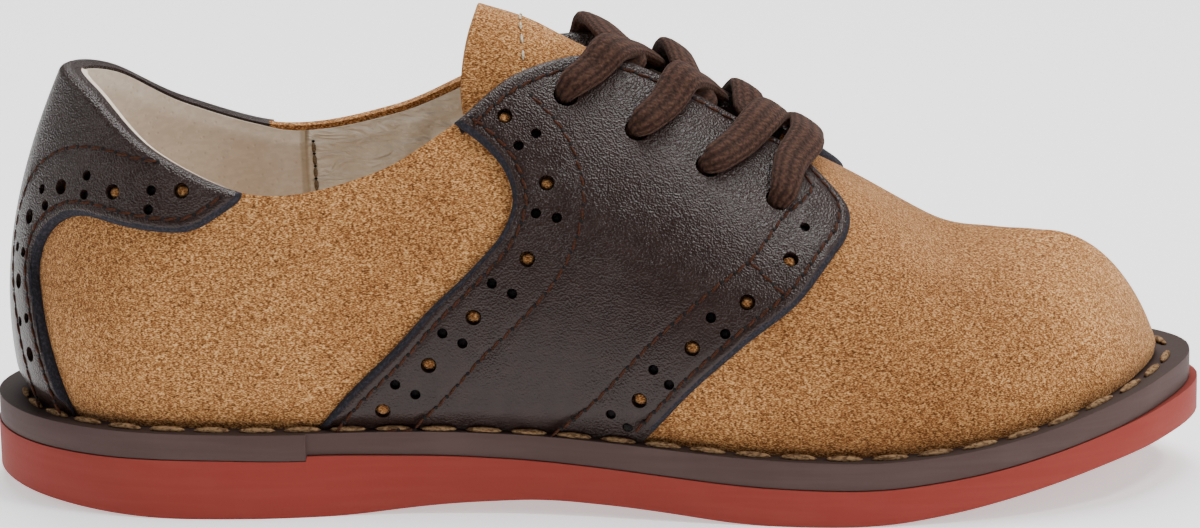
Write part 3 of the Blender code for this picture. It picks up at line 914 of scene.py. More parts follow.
def crisp(piece: bpy.types.Object, degrees: float) -> None:
    """Keeps the edges sharper than this as edges in smooth shading."""
    piece.data.shade_smooth()
    piece.data.set_sharp_from_angle(angle=math.radians(degrees))


def grid_of(columns: int, rows: int) -> tuple[bmesh.types.BMesh, Array, Array]:
    """A flat grid, and where its points are from 0 to 1 along and up."""
    bm = bmesh.new()
    bmesh.ops.create_grid(bm, x_segments=columns, y_segments=rows, size=0.5)
    flat = np.array([v.co[:2] for v in bm.verts]) + 0.5
    return bm, np.clip(flat[:, 0], 0.0, 1.0), np.clip(flat[:, 1], 0.0, 1.0)


def crowd(share: Array) -> Array:
    """Places from 0 to 1, crowded towards both ends."""
    return share - 0.72 * np.sin(math.tau * share) / math.tau


def nearest(points: Array, marks: Array) -> Array:
    """How far each point is from the nearest mark."""
    away = [
        np.linalg.norm(points[i:i + 2000, None, :] - marks[None], axis=2).min(axis=1)
        for i in range(0, len(points), 2000)
    ]
    return np.concatenate(away)


def put(verts: Iterable[bmesh.types.BMVert], points: Array) -> None:
    """Moves points of a mesh to their places."""
    for vert, point in zip(verts, points):
        vert.co = point


def slab_of(bm: bmesh.types.BMesh, face: Array, under: Array) -> tuple[list, list]:
    """Turns a grid into a closed layer.

    Args:
        bm: the grid.
        face: the outer place of each point.
        under: the inner place of each point.

    Returns:
        The rim's edges on the outer face, and the faces of the side wall and the under face.
    """
    mark = bm.verts.layers.int.new("mark")
    verts = bm.verts[:]
    outer = bm.faces[:]
    rim = [edge for edge in bm.edges if edge.is_boundary]
    for i, vert in enumerate(verts):
        vert[mark] = i
    made = bmesh.ops.extrude_face_region(bm, geom=outer)["geom"]
    lower = [v for v in made if isinstance(v, bmesh.types.BMVert)]
    put(verts, face)
    put(lower, under[[v[mark] for v in lower]])
    kept = set(outer)
    rest = [f for f in bm.faces if f not in kept]
    bmesh.ops.recalc_face_normals(bm, faces=bm.faces[:])
    return rim, rest


def beads(
    bm: bmesh.types.BMesh, points: Array, runs: Array, normals: Array, half: Size, slot: int
) -> None:
    """Lays small rounded beads, such as stitches, along a line.

    Args:
        bm: where they go.
        points: their middles.
        runs: the way each one points.
        normals: the way up of each one.
        half: half length, half width and half height.
        slot: their material slot.
    """
    for point, run, up in zip(points, runs, normals):
        aside = np.cross(up, run)
        turn = Matrix(np.column_stack([run, aside, up]).tolist()).to_4x4()
        made = bmesh.ops.create_uvsphere(
            bm, u_segments=6, v_segments=5, radius=1.0,
            matrix=Matrix.Translation(Vector(point)) @ turn @ Matrix.Diagonal((*half, 1.0))
            @ Matrix.Rotation(math.pi / 2, 4, "Y"),
        )["verts"]
        for face in {f for v in made for f in v.link_faces}:
            face.material_index = slot


def hand_over(piece: bpy.types.Object, slot: str, *nodes: str) -> None:
    """Rides a piece on the shoe, hides the nodes it stands for, and reports it."""
    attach(piece, BODY)
    if nodes:
        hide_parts(*nodes)
    log.info("%s: %d faces", piece.name, len(piece.data.polygons))


# The shoe's pieces


@dataclass
class Sole:
    """Red rubber outsole, brown welt with its stitches, and the insole."""

    last: Last
    rack: Rack
    columns: int = 150
    tread_round: float = 1.3
    edge_round: float = 0.35
    joint_u: float = 0.295  # where the welt's two ends meet, at the waist
    joint_step: float = 0.45  # the heel end stands out by this, fading along u
    step_fade: float = 0.1
    joint_drop: float = 0.7  # and hangs lower by this
    drop_fade: float = 0.05
    joint_marks: tuple[float, ...] = (-0.0022, -0.0004, 0.0004, 0.0022)  # columns of points beside it
    welt_inset: float = 0.2  # the welt stands back from the outsole
    toe_trim: float = 10.0  # and more so past this place at the toe, for each u
    toe_from: float = 0.9
    layer_gap: float = 0.06  # half the gap between red and brown
    stitch_pitch: float = 6.2
    stitch_half: Size = (2.6, 0.60, 0.50)
    stitch_rise: float = 0.22
    stitch_out: float = 0.95  # from the foot line, with more at the heel and at the toe
    stitch_out_heel: float = 0.35
    stitch_out_toe: float = 0.5

    def welt_out(self, side: Array, u: Array) -> Array:
        """How far the welt stands out past the foot, with a step at its joint."""
        heel = np.where((side < 0) & (u < self.joint_u), 1.0, 0.0)
        trim = np.maximum(u - self.toe_from, 0.0) * self.toe_trim
        out = self.last.section(u)["ledge"] - self.welt_inset - trim
        fade = np.exp(-((u - self.joint_u) / self.step_fade) ** 2)
        return out + self.joint_step * (heel - 0.5) * (side < 0) * fade

    def seam(self, side: Array, u: Array, x: Array) -> Array:
        """Height of the seam between red and brown rubber. The welt's heel end hangs a little lower."""
        drop = np.where((side < 0) & (u < self.joint_u), -0.5, 0.5) * (side < 0)
        fade = np.exp(-((u - self.joint_u) / self.drop_fade) ** 2)
        return self.last.level(x, "seam") + self.joint_drop * drop * fade

    def layer(
        self, out: Callable, top: Callable, bottom: Callable, low_round: float, high_round: float
    ) -> bmesh.types.BMesh:
        """One layer of the sole, filled across.

        Args:
            out: how far its side stands out, from sides and u.
            top: height of its upper face, from sides, u and x.
            bottom: height of its lower face, from sides, u and x.
            low_round: rounding of the lower rim.
            high_round: rounding of the upper rim.

        Returns:
            The closed layer.
        """
        even = np.linspace(0.0, 1.0, self.columns + 1 - len(self.joint_marks))
        us = np.sort(np.concatenate([even, self.joint_u + np.array(self.joint_marks)]))
        bm, a, b = grid_of(self.columns, 4)
        u = us[np.rint(a * self.columns).astype(int)]
        near, far = np.full(len(u), -1.0), np.full(len(u), 1.0)
        inner = self.last.outline(near, u, out(near, u))
        outer = self.last.outline(far, u, out(far, u))
        plan = inner * (1 - b)[:, None] + outer * b[:, None]
        side = np.where(b < 0.5, -1.0, 1.0)
        edge = np.abs(2 * b - 1)
        heights = []
        for height in (top, bottom):
            middle = height(far, u, plan[:, 0])
            heights.append(middle * (1 - edge) + height(side, u, plan[:, 0]) * edge)
        face = np.column_stack([plan, heights[0]])
        under = np.column_stack([plan, heights[1]])
        slab_of(bm, face, under)
        bmesh.ops.remove_doubles(bm, verts=bm.verts[:], dist=0.004)
        bmesh.ops.dissolve_degenerate(bm, edges=bm.edges[:], dist=0.001)
        for rounding, way in ((high_round, 1), (low_round, -1)):
            edges = [
                e for e in bm.edges
                if len(e.link_faces) == 2
                and e.calc_face_angle(0.0) > 1.0
                and max(f.normal.z * way for f in e.link_faces) > 0.7
                and min(abs(f.normal.z) for f in e.link_faces) < 0.5
            ]
            bmesh.ops.bevel(
                bm, geom=edges, offset=rounding, segments=3, profile=0.5, affect="EDGES",
                material=-1, clamp_overlap=True,
            )
        return bm

    def build_outsole(self) -> None:
        """The red outsole, with the flat rests, the arch and the sprung toe of its solid."""
        bm = self.layer(
            lambda side, u: self.last.section(u)["ledge"],
            lambda side, u, x: self.seam(side, u, x) - self.layer_gap,
            lambda side, u, x: np.maximum(self.last.level(x, "tread"), 0.0),
            self.tread_round,
            self.edge_round,
        )
        piece = new_piece("outsole_dressed", bm, [self.rack.sole])
        crisp(piece, 50.0)
        hand_over(piece, "red_rubber", "outsole")

    def build_welt(self) -> None:
        """The brown welt, stepped where its ends meet."""
        bm = self.layer(
            self.welt_out,
            lambda side, u, x: self.last.level(x, "welt"),
            lambda side, u, x: self.seam(side, u, x) + self.layer_gap,
            self.edge_round * 0.6,
            self.edge_round,
        )
        piece = new_piece("welt_dressed", bm, [self.rack.welt])
        crisp(piece, 50.0)
        hand_over(piece, "brown_rubber", "welt")

    def build_stitches(self) -> None:
        """Thick stitches along the welt, tight against the upper."""
        bm = bmesh.new()
        for side in Side:
            u = np.linspace(0.012, 0.995, 600)
            sign = np.full(len(u), float(side.value))
            more = self.stitch_out_heel * ease(0.30, 0.24, u) + self.stitch_out_toe * ease(0.9, 1.0, u)
            out = self.stitch_out + more
            plan = self.last.outline(sign, u, out)
            line = np.column_stack([plan, self.last.level(plan[:, 0], "welt") + self.stitch_rise])
            lengths = np.concatenate([[0.0], np.cumsum(np.linalg.norm(np.diff(line, axis=0), axis=1))])
            count = int(lengths[-1] / self.stitch_pitch)
            at = (np.arange(count) + 0.5) / count * lengths[-1]
            points = np.column_stack([np.interp(at, lengths, line[:, i]) for i in range(3)])
            ahead = np.column_stack([np.interp(at + 0.5, lengths, line[:, i]) for i in range(3)])
            runs = unit(ahead - points)
            ups = unit(np.cross(runs, np.cross(np.tile([0.0, 0.0, 1.0], (count, 1)), runs)))
            beads(bm, points, runs, ups, self.stitch_half, 0)
        piece = new_piece("welt_stitches", bm, [self.rack.welt_thread])
        hand_over(piece, "brown_cotton")

    def build(self) -> None:
        """All of the sole."""
        self.build_outsole()
        self.build_welt()
        self.build_stitches()
        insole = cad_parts["insole"]
        insole.data.materials.clear()
        insole.data.materials.append(self.rack.insole)


@dataclass
class Upper:
    """The suede shell and its lining, open at the collar and the throat."""

    last: Last
    rack: Rack
    columns: int = 150
    rows: int = 52
    suede: float = 1.25
    lining: float = 0.7
    tuck: float = -0.016  # the suede goes down behind the welt's edge
    pinch: float = 0.5  # and is drawn in by the welt's stitches
    counter_u: float = 0.236
    saddle_u: tuple[float, float] = (0.452, 0.726)
    apart: float = 0.05  # least way from the middle where the two sides don't meet
    # how far the lining stops below the collar, at the inner and outer leather and at the suede
    collar_turn: Size = (0.0, 0.35, 0.8)
    collar_height: float = 36.0
    lining_gap: float = 0.04
    seam_x: float = -43.0  # where the heel lining lies over the fore lining
    seam_step: float = 0.22
    seam_row: float = -42.3
    seam_z: tuple[float, float] = (17.0, 44.0)
    seam_pitch: float = 2.1
    seam_stitch: Size = (0.90, 0.34, 0.26)
    # dark marks between the seam's stitches: painted shade of the needle holes
    seam_prick: Size = (0.20, 0.26, 0.20)
    # folds of the fore lining as x, z and the turn of each from level, in degrees
    folds: tuple[Size, ...] = (
        (-14.0, 49.0, 40.0), (-19.0, 46.0, 36.0), (-24.0, 44.0, 28.0),
        (-29.0, 42.0, 60.0), (-34.0, 38.0, 75.0),
    )
    fold_length: float = 7.0
    fold_width: float = 1.3
    fold_height: float = 0.80

    def spots(self, a: Array) -> tuple[Array, Array]:
        """Sides and u of places that run from the heel along the inner side to the toe and back."""
        side = np.where(a <= 0.5, -1.0, 1.0)
        return side, np.where(a <= 0.5, 2 * a, 2 * (1 - a))

    def layer(self, side: Array, u: Array, t: Array, lift: Array) -> Array:
        """Points of the skin, moved outwards. Both sides share the heel back's and the crown's."""
        here = self.last.skin(side, u, t, lift)
        away = side * here[:, 1]
        here[:, 1] = side * np.where(u < self.last.vamp_u, np.maximum(away, self.apart), away)
        shared = (u < 1e-6) | ((u >= self.last.vamp_u) & (t > 1 - 1e-6))
        middle = (here + self.last.skin(-side, u, t, lift)) / 2 * [1.0, 0.0, 1.0]
        return np.where(shared[:, None], middle, here)

    def close(self, bm: bmesh.types.BMesh) -> None:
        """Joins the two sides and takes out the walls that are left inside the joint."""
        bmesh.ops.remove_doubles(bm, verts=bm.verts[:], dist=0.01)
        inside = [f for f in bm.faces if all(abs(v.co.y) < 1e-4 for v in f.verts)]
        bmesh.ops.delete(bm, geom=inside, context="FACES")
        bmesh.ops.recalc_face_normals(bm, faces=bm.faces[:])

    def build_shell(self, holes: Sequence) -> None:
        """Vamp and quarters in suede."""
        bm, a, b = grid_of(2 * self.columns, self.rows)
        side, u = self.spots(a)
        t = self.tuck + (1 - self.tuck) * b
        face = self.layer(side, u, t, -self.pinch * (1 - ease(self.tuck, 0.05, t)))
        under = self.layer(side, u, t, np.full(len(u), -self.suede))
        under_leather = (u < self.counter_u) | ((u > self.saddle_u[0]) & (u < self.saddle_u[1]))
        dark = set(np.flatnonzero((b > 0.95) & under_leather))
        slab_of(bm, face, under)
        self.close(bm)
        mark = bm.verts.layers.int["mark"]
        for f in bm.faces:
            if all(v[mark] in dark for v in f.verts):
                f.material_index = 1
        piece = new_piece("upper_suede", bm, [self.rack.suede, self.rack.leather])
        punch(piece, holes, 6.0)
        crisp(piece, 55.0)
        hand_over(piece, "tan_suede", "upper")

    def build_lining(self, holes: Sequence) -> None:
        """The lining, which stops a little below the collar's turned edge."""
        bm, a, b = grid_of(2 * self.columns, self.rows)
        side, u = self.spots(a)
        inner, outer, quarter = self.collar_turn
        by_counter = np.where(a < 0.5, inner, outer)
        turn = by_counter + (quarter - by_counter) * ease(0.22, 0.26, u)
        t = b * (1.0 - (1 - ease(0.44, 0.50, u)) * turn / self.collar_height)
        spot = self.last.skin(side, u, t, np.zeros(len(u)))
        wrinkle = self.wrinkles(spot)
        step = self.seam_step * (1 - ease(self.seam_x - 0.3, self.seam_x + 0.3, spot[:, 0]))
        back = -self.suede - self.lining_gap
        outer = self.layer(side, u, t, np.full(len(u), back))
        skived = 1 - 0.75 * ease(0.94, 1.0, b) * (side > 0)
        inner = self.layer(side, u, t, back - (self.lining + step) * skived - wrinkle)
        slab_of(bm, outer, inner)
        self.close(bm)
        piece = new_piece("lining", bm, [self.rack.lining])
        punch(piece, holes, 6.0)
        crisp(piece, 55.0)
        hand_over(piece, "beige_leather")

    def wrinkles(self, spot: Array) -> Array:
        """Soft folds in the fore lining, fanning down from the top of the facing."""
        rise = np.zeros(len(spot))
        for x, z, turn in self.folds:
            angle = math.radians(turn)
            dx, dz = spot[:, 0] - x, spot[:, 2] - z
            run = (dx * math.cos(angle) + dz * math.sin(angle)) / self.fold_length
            off = (dz * math.cos(angle) - dx * math.sin(angle)) / self.fold_width
            rise += self.fold_height * np.exp(-run * run - off * off)
        return rise

    def build_seam(self) -> None:
        """The upright seam where the two linings meet, on both sides."""
        bm = bmesh.new()
        for side in Side:
            z = np.linspace(*self.seam_z, 30)
            places = self.last.locate(side, [(self.seam_row, h) for h in z], 0.0, (0.28, 0.3))
            line = SkinLine(self.last, side, places, -self.suede - self.lining - 0.2)
            points, runs, normals = line.spread(self.seam_pitch)
            beads(bm, points, runs, -normals, self.seam_stitch, 0)
            beads(bm, points + runs * self.seam_pitch / 2, runs, -normals, self.seam_prick, 1)
        piece = new_piece("lining_seam", bm, [self.rack.seam_thread, self.rack.pit_shade])
        hand_over(piece, "beige_leather")

    def build(self, holes: Sequence) -> None:
        """Shell, lining and the lining's seam."""
        self.build_shell(holes)
        self.build_lining(holes)
        self.build_seam()


@dataclass
class Overlay:
    """A leather overlay on the upper: its patch, sewn rows and punched holes."""

    last: Last
    rack: Rack
    round_drop: float = 0.95  # the cut edge slopes down this far
    round_reach: float = 1.25
    edge_band: float = 0.80  # how much of it shows the dye
    tuck_drop: float = 1.2  # the leather turns in above the welt
    tuck_t: float = 0.085
    stitch_pitch: float = 2.25
    stitch_half: Size = (1.0, 0.22, 0.24)
    stitch_slant: float = 0.16
    stitch_sink: float = 0.10
    prick_half: Size = (0.34, 0.36, 0.19)  # a dark mark where the needle went in: painted shade of its hole
    prick_sink: float = 0.17
    dip: float = 0.17  # the stitches pull the leather down
    dip_most: float = 0.2
    dip_width: float = 0.55
    edge_row: float = 1.9
    big_hole: float = 1.12
    small_hole: float = 0.74
    pip_half: Size = (0.85, 0.85, 0.36)  # suede that shows in a big hole
    pip_sink: float = 0.95
    pip_turn: float = -0.6  # holes that face further back than this have none
    small_hole_shade_half: Size = (0.72, 0.72, 0.30)  # a dark disc deep in a small hole: painted shade there
    small_hole_shade_sink: float = 1.1
    raw_t: float = 0.03  # the edge is dyed from here up
    foot_t: float = -0.004
    under: float = 0.03
    rows: list[SkinLine] = field(default_factory=list)
    holes: list[tuple[Array, Array, float]] = field(default_factory=list)

    def drawn(self, side: Side, places: Array) -> SkinLine:
        """A line on the leather's face, from rows of u and t."""
        return SkinLine(self.last, side, places, self.last.overlay_face)

    def band(
        self,
        edge: SkinLine,
        inset: float | Array,
        spread: float,
        big: Sequence,
        pairs: Sequence,
        skew: Sequence = (0.0,),
    ) -> None:
        """Punches a band: big holes in a row, and pairs of small ones across it.

        Args:
            edge: the leather's edge.
            inset: from the edge to the middle of the band, below 0 away from the toe.
            spread: half the way between the holes of a pair.
            big: where the big holes are, along the edge.
            pairs: where the pairs are.
            skew: how much further along the hole nearer the toe is, for each pair or for all.
        """
        for d, places, radius, ahead in (
            (0.0, big, self.big_hole, (0.0,)),
            (-spread, pairs, self.small_hole, (0.0,)),
            (spread, pairs, self.small_hole, skew),
        ):
            at = np.array(places) + np.array(ahead)
            points, _, normals = edge.moved(inset + d).read(at, edge)
            self.holes += [(point, normal, radius) for point, normal in zip(points, normals)]

    def sewn_dip(self, points: Array) -> Array:
        """How far the stitches pull the leather down at each point."""
        dip = np.zeros(len(points))
        for line in self.rows:
            away = nearest(points, line.points[::2])
            dip += self.dip * np.exp(-((away / self.dip_width) ** 2))
        return np.minimum(dip, self.dip_most)

    def leather_patch(
        self, name: str, steps: tuple[int, int], side: Callable, place: Callable
    ) -> bpy.types.Object:
        """The overlay's leather, with a sloping dyed edge, turned over at its top, and its holes.

        Args:
            name: the piece's name.
            steps: columns and rows of its grid.
            side: sides of places along and up.
            place: u and t of places along and up.

        Returns:
            The piece.
        """
        bm, a, b = grid_of(*steps)
        top = b > 1 - 1e-6
        border = top | (np.minimum(np.minimum(a, 1 - a), b) < 1e-6)
        a, b = crowd(a), crowd(b)
        sides = side(a)
        u, t = place(a, b)
        face = self.last.skin(sides, u, t, np.full(len(u), self.last.overlay_face))
        slope = np.maximum(1 - nearest(face, face[border]) / self.round_reach, 0.0) ** 2
        raw = nearest(face, face[border & ~top & (t > self.raw_t)]) < self.edge_band
        tucked = self.tuck_drop * (1 - ease(0.0, self.tuck_t, t))
        lift = self.last.overlay_face - self.sewn_dip(face) - np.maximum(self.round_drop * slope, tucked)
        face = self.last.skin(sides, u, t, lift)
        under = self.last.skin(sides, u, t, np.full(len(u), self.under))
        _, rest = slab_of(bm, face, under)
        mark = bm.verts.layers.int["mark"]
        walls = set(rest)
        for f in bm.faces:
            here = [v[mark] for v in f.verts]
            f.material_index = int(not top[here].all() if f in walls else raw[here].all())
        bmesh.ops.remove_doubles(bm, verts=bm.verts[:], dist=0.005)
        piece = new_piece(name, bm, [self.rack.leather, self.rack.edge])
        punch(piece, self.holes, 2.6)
        crisp(piece, 48.0)
        return piece

    def sew(self, name: str) -> bpy.types.Object:
        """The stitches of every row, dark marks between them as painted shade in the needle's holes, and
        what shows in the holes.
        """
        bm = bmesh.new()
        for line in self.rows:
            points, runs, normals = line.spread(self.stitch_pitch)
            slant = unit(runs + self.stitch_slant * np.cross(normals, runs))
            beads(bm, points - self.stitch_sink * normals, slant, normals, self.stitch_half, 0)
            ends = points + runs * self.stitch_pitch / 2
            beads(bm, ends - self.prick_sink * normals, slant, normals, self.prick_half, 1)
        for point, normal, radius in self.holes:
            aside = unit(np.cross([0.0, 0.0, 1.0], normal)[None])
            # suede shows in a big hole; a small one gets a dark disc as painted shade
            if radius == self.big_hole and normal[0] > self.pip_turn:
                beads(bm, [point - self.pip_sink * normal], aside, [normal], self.pip_half, 2)
            elif radius == self.small_hole:
                beads(bm, [point - self.small_hole_shade_sink * normal], aside, [normal], self.small_hole_shade_half, 1)
        piece = new_piece(name, bm, [self.rack.upper_thread, self.rack.pit_shade, self.rack.suede])
        hand_over(piece, "brown_leather")
        return piece


@dataclass
class Saddle(Overlay):
    """One side's saddle, from the welt to the throat, with the eyelets."""

    side: Side = Side.INNER
    back: tuple[tuple[float, float], ...] = (
        (-37.9, 13.6), (-33.2, 17.6), (-27.5, 23.3), (-21.8, 29.6), (-16.1, 35.1),
        (-11.9, 39.8), (-10.2, 43.8), (-10.4, 46.4), (-11.8, 49.4), (-14.6, 52.3),
    )
    front: tuple[tuple[float, float], ...] = (
        (7.2, 12.4), (14.2, 18.4), (21.2, 24.8), (29.5, 31.2),
        (35.2, 37.3), (37.0, 39.8), (36.8, 41.6), (34.1, 44.3),
    )
    top_u: tuple[float, float] = (0.451, 0.726)
    eyelets: tuple[tuple[float, float], ...] = ((-2.7, 57.6), (7.2, 52.9), (17.0, 47.9), (26.7, 43.1))
    eyelet_radius: float = 1.8
    steps: tuple[int, int] = (96, 112)
    back_row: float = 9.9  # from the back edge to the band's second row
    back_middle: float = 5.0
    back_big: tuple[float, ...] = (8.6, 17.8, 27.6, 37.7, 44.9, 53.2)
    back_pairs: tuple[float, ...] = (12.8, 22.6, 32.6, 42.4, 49.6)
    front_row: float = 8.8
    # u and t of the second row's top, where it joins the edge row
    front_top: tuple[tuple[float, float], ...] = ((0.7165, 0.80), (0.7185, 0.862))
    front_middle: float = 4.5
    front_big: tuple[float, ...] = (5.3, 15.6, 25.3, 35.6)
    front_pairs: tuple[float, ...] = (0.6, 9.9, 20.4)
    front_single: float = 41.5
    bar_at: float = 30.3  # a short row across the front band
    single_inset: float = 5.5
    pair_spread: float = 1.5
    pair_skew: tuple[float, ...] = (0.9, 0.9, 0.9, 0.0, 0.0)  # the lower back pairs are set a little askew
    facing: float = 46.0  # from the foot to the throat
    row_points: int = 160

    def __post_init__(self) -> None:
        """Draws the edges, rows and holes."""
        self.edges = []
        for spots, top in zip((self.back, self.front), self.top_u):
            places = self.last.locate(self.side, spots, self.last.overlay_face, (0.5, 0.5))
            places[0, 1] = self.foot_t
            self.edges.append(np.vstack([places, [top, 1.0]]) * [U_MM, T_MM])
        self.back_line, self.front_line = (self.smooth_line(edge) for edge in self.edges)
        self.draw_rows()
        self.draw_holes()

    def smooth_line(self, places: Array) -> SkinLine:
        """A smooth line on the leather through places in millimetres of u and t."""
        share = np.linspace(0.0, 1.0, self.row_points)
        return self.drawn(self.side, smooth_path(places, share) / [U_MM, T_MM])

    def draw_rows(self) -> None:
        """A row inside each edge, a second one across each perforated band, and the bar."""
        back, front = self.back_line, self.front_line
        long_back, long_front = back.lengths[-1], front.lengths[-1]
        self.rows.append(back.moved(self.edge_row).cut(1.0, long_back - 1.5, back))
        self.rows.append(back.moved(self.back_row).cut(1.0, long_back - 5.0, back))
        front_edge = front.moved(-self.edge_row)
        self.rows.append(front_edge.cut(1.0, long_front - 3.0, front))
        inner = front.moved(-self.front_row)
        way = inner.cut(3.0, 40.0, front).places
        lean = (way[8] - way[0]) / (way[8] - way[0])[1]
        low = way[0] - lean * (way[0][1] - self.foot_t)
        self.rows.append(self.smooth_line(np.vstack([low, way[::8], self.front_top]) * [U_MM, T_MM]))
        along = np.linspace(self.top_u[0] + 0.012, self.top_u[1] - 0.01, self.row_points)
        down = np.full(self.row_points, 1.0 - self.edge_row / self.facing)
        self.rows.append(self.drawn(self.side, np.column_stack([along, down])))
        ends = [line.cut(self.bar_at, self.bar_at + 0.1, front).places[0] for line in (inner, front_edge)]
        self.rows.append(self.drawn(self.side, np.linspace(*ends, 12)))

    def draw_holes(self) -> None:
        """Both bands of holes, and the eyelets last."""
        back, front, spread = self.back_line, self.front_line, self.pair_spread
        self.band(back, self.back_middle, spread, self.back_big, self.back_pairs, self.pair_skew)
        self.band(front, -self.front_middle, spread, self.front_big, self.front_pairs)
        points, _, normals = front.moved(-self.single_inset).read(np.array([self.front_single]), front)
        self.holes.append((points[0], normals[0], self.small_hole))
        for place in self.eyelet_places():
            spot = self.drawn(self.side, np.array([place, place + [0.002, 0.0]]))
            self.holes.append((spot.points[0], spot.normals()[0], self.eyelet_radius))

    def eyelet_places(self) -> Array:
        """The eyelets as u and t, from the top down to the toe end."""
        return self.last.locate(self.side, self.eyelets, self.last.overlay_face, (0.6, 0.85))

    def place(self, a: Array, b: Array) -> tuple[Array, Array]:
        """The patch as u and t, ruled from the back edge to the front one: a goes forward and b goes up."""
        share = (1 - a if self.side is Side.OUTER else a)[:, None]
        mixed = smooth_path(self.edges[0], b) * (1 - share) + smooth_path(self.edges[1], b) * share
        return mixed[:, 0] / U_MM, mixed[:, 1] / T_MM

    def build(self) -> None:
        """Leather and stitches."""
        name = "saddle_inner" if self.side is Side.INNER else "saddle_outer"
        piece = self.leather_patch(
            name + "_leather", self.steps, lambda a: np.full(len(a), float(self.side.value)), self.place
        )
        hand_over(piece, "brown_leather", name)
        self.sew(name + "_stitches")


@dataclass
class Counter(Overlay):
    """The heel counter: a strip up the heel back with a wing along each side of the collar."""

    edge: tuple[tuple[float, float, float], ...] = (
        (-48.8, 44.3, 0.238), (-50.7, 43.0, 0.222), (-55.0, 40.7, 0.194), (-59.3, 40.4, 0.166),
        (-65.1, 41.0, 0.130), (-70.3, 41.8, 0.100), (-73.6, 41.4, 0.078), (-76.6, 39.5, 0.060),
        (-78.5, 36.8, 0.048), (-79.5, 33.0, 0.041), (-79.0, 28.5, 0.036), (-77.3, 21.1, 0.028),
        (-74.3, 14.8, 0.020),
    )
    edge_share: float = 0.80
    bow: float = 2.2  # how soon its upright lines lean back from the lower edge
    steps: tuple[int, int] = (240, 44)
    strip_middle: float = 4.1
    strip_row: float = 7.0  # second row, from the edge of the strip
    wing_row: float = 9.7  # and from the lower edge of the wing
    band_middle: float = 4.3
    big: tuple[float, ...] = (10.8, 21.2, 27.5, 33.6, 41.2, 55.4)
    pairs: tuple[float, ...] = (15.8, 24.0, 30.6, 37.0, 47.6)
    pair_spread: float = 1.35
    strip_edge_row: float = 1.5
    wing_from: tuple[float, float] = (20.0, 30.0)  # where the strip turns into the wing, along the edge
    row_end: float = 48.0
    tip_rise: float = 1.3  # the last hole stands higher
    tip_from: tuple[float, float] = (49.0, 55.0)

    def __post_init__(self) -> None:
        """Draws the edges, rows and holes of both halves."""
        self.halves = {}
        for side in Side:
            spots = [(x, z) for x, z, _ in self.edge]
            places = self.last.locate(side, spots, self.last.overlay_face, (0.24, 0.95))
            places[-1, 1] = self.foot_t
            tops = np.array([row[2] for row in self.edge])
            self.halves[side] = np.column_stack([places, tops]) * [U_MM, T_MM, U_MM]
            line = smooth_path(self.halves[side], np.linspace(0.0, 1.0, 200))[:, :2] / [U_MM, T_MM]
            low = self.drawn(side, line[::-1])
            lengths = low.lengths
            wing = ease(*self.wing_from, lengths)
            edge_row = self.strip_edge_row + (self.edge_row - self.strip_edge_row) * wing
            self.rows.append(low.moved(-edge_row).cut(1.0, lengths[-1] - 1.0, low))
            inset = self.strip_row + (self.wing_row - self.strip_row) * wing
            self.rows.append(low.moved(-inset).cut(1.0, self.row_end, low))
            middle = self.strip_middle + (self.band_middle - self.strip_middle) * wing
            middle = middle + self.tip_rise * ease(*self.tip_from, lengths)
            self.band(low, -middle, self.pair_spread, self.big, self.pairs)

    def place(self, a: Array, b: Array) -> tuple[Array, Array]:
        """The patch as u and t: a from the outer wing's tip round the heel to the inner one, b going up."""
        along = np.where(a <= 0.5, 2 * a, 2 * (1 - a))
        u, t = np.zeros(len(a)), np.zeros(len(a))
        for side, chosen in ((Side.OUTER, a <= 0.5), (Side.INNER, a > 0.5)):
            rows = self.halves[side]
            here = along[chosen]
            on_edge = smooth_path(rows, np.minimum(here / self.edge_share, 1.0))
            left = np.clip((1.0 - here) / (1.0 - self.edge_share), 0.0, 1.0)[:, None]
            strip = rows[-1] * np.hstack([left, np.ones_like(left), left])
            found = np.where((here < self.edge_share)[:, None], on_edge, strip)
            up = b[chosen]
            bow = (1 - up) ** self.bow
            u[chosen] = (found[:, 0] * bow + found[:, 2] * (1 - bow)) / U_MM
            t[chosen] = (found[:, 1] * (1 - up) + T_MM * up) / T_MM
        return u, t

    def build(self) -> None:
        """Leather and stitches."""
        piece = self.leather_patch(
            "counter_leather", self.steps, lambda a: np.where(a <= 0.5, 1.0, -1.0), self.place
        )
        hand_over(piece, "brown_leather", "counter")
        self.sew("counter_stitches")


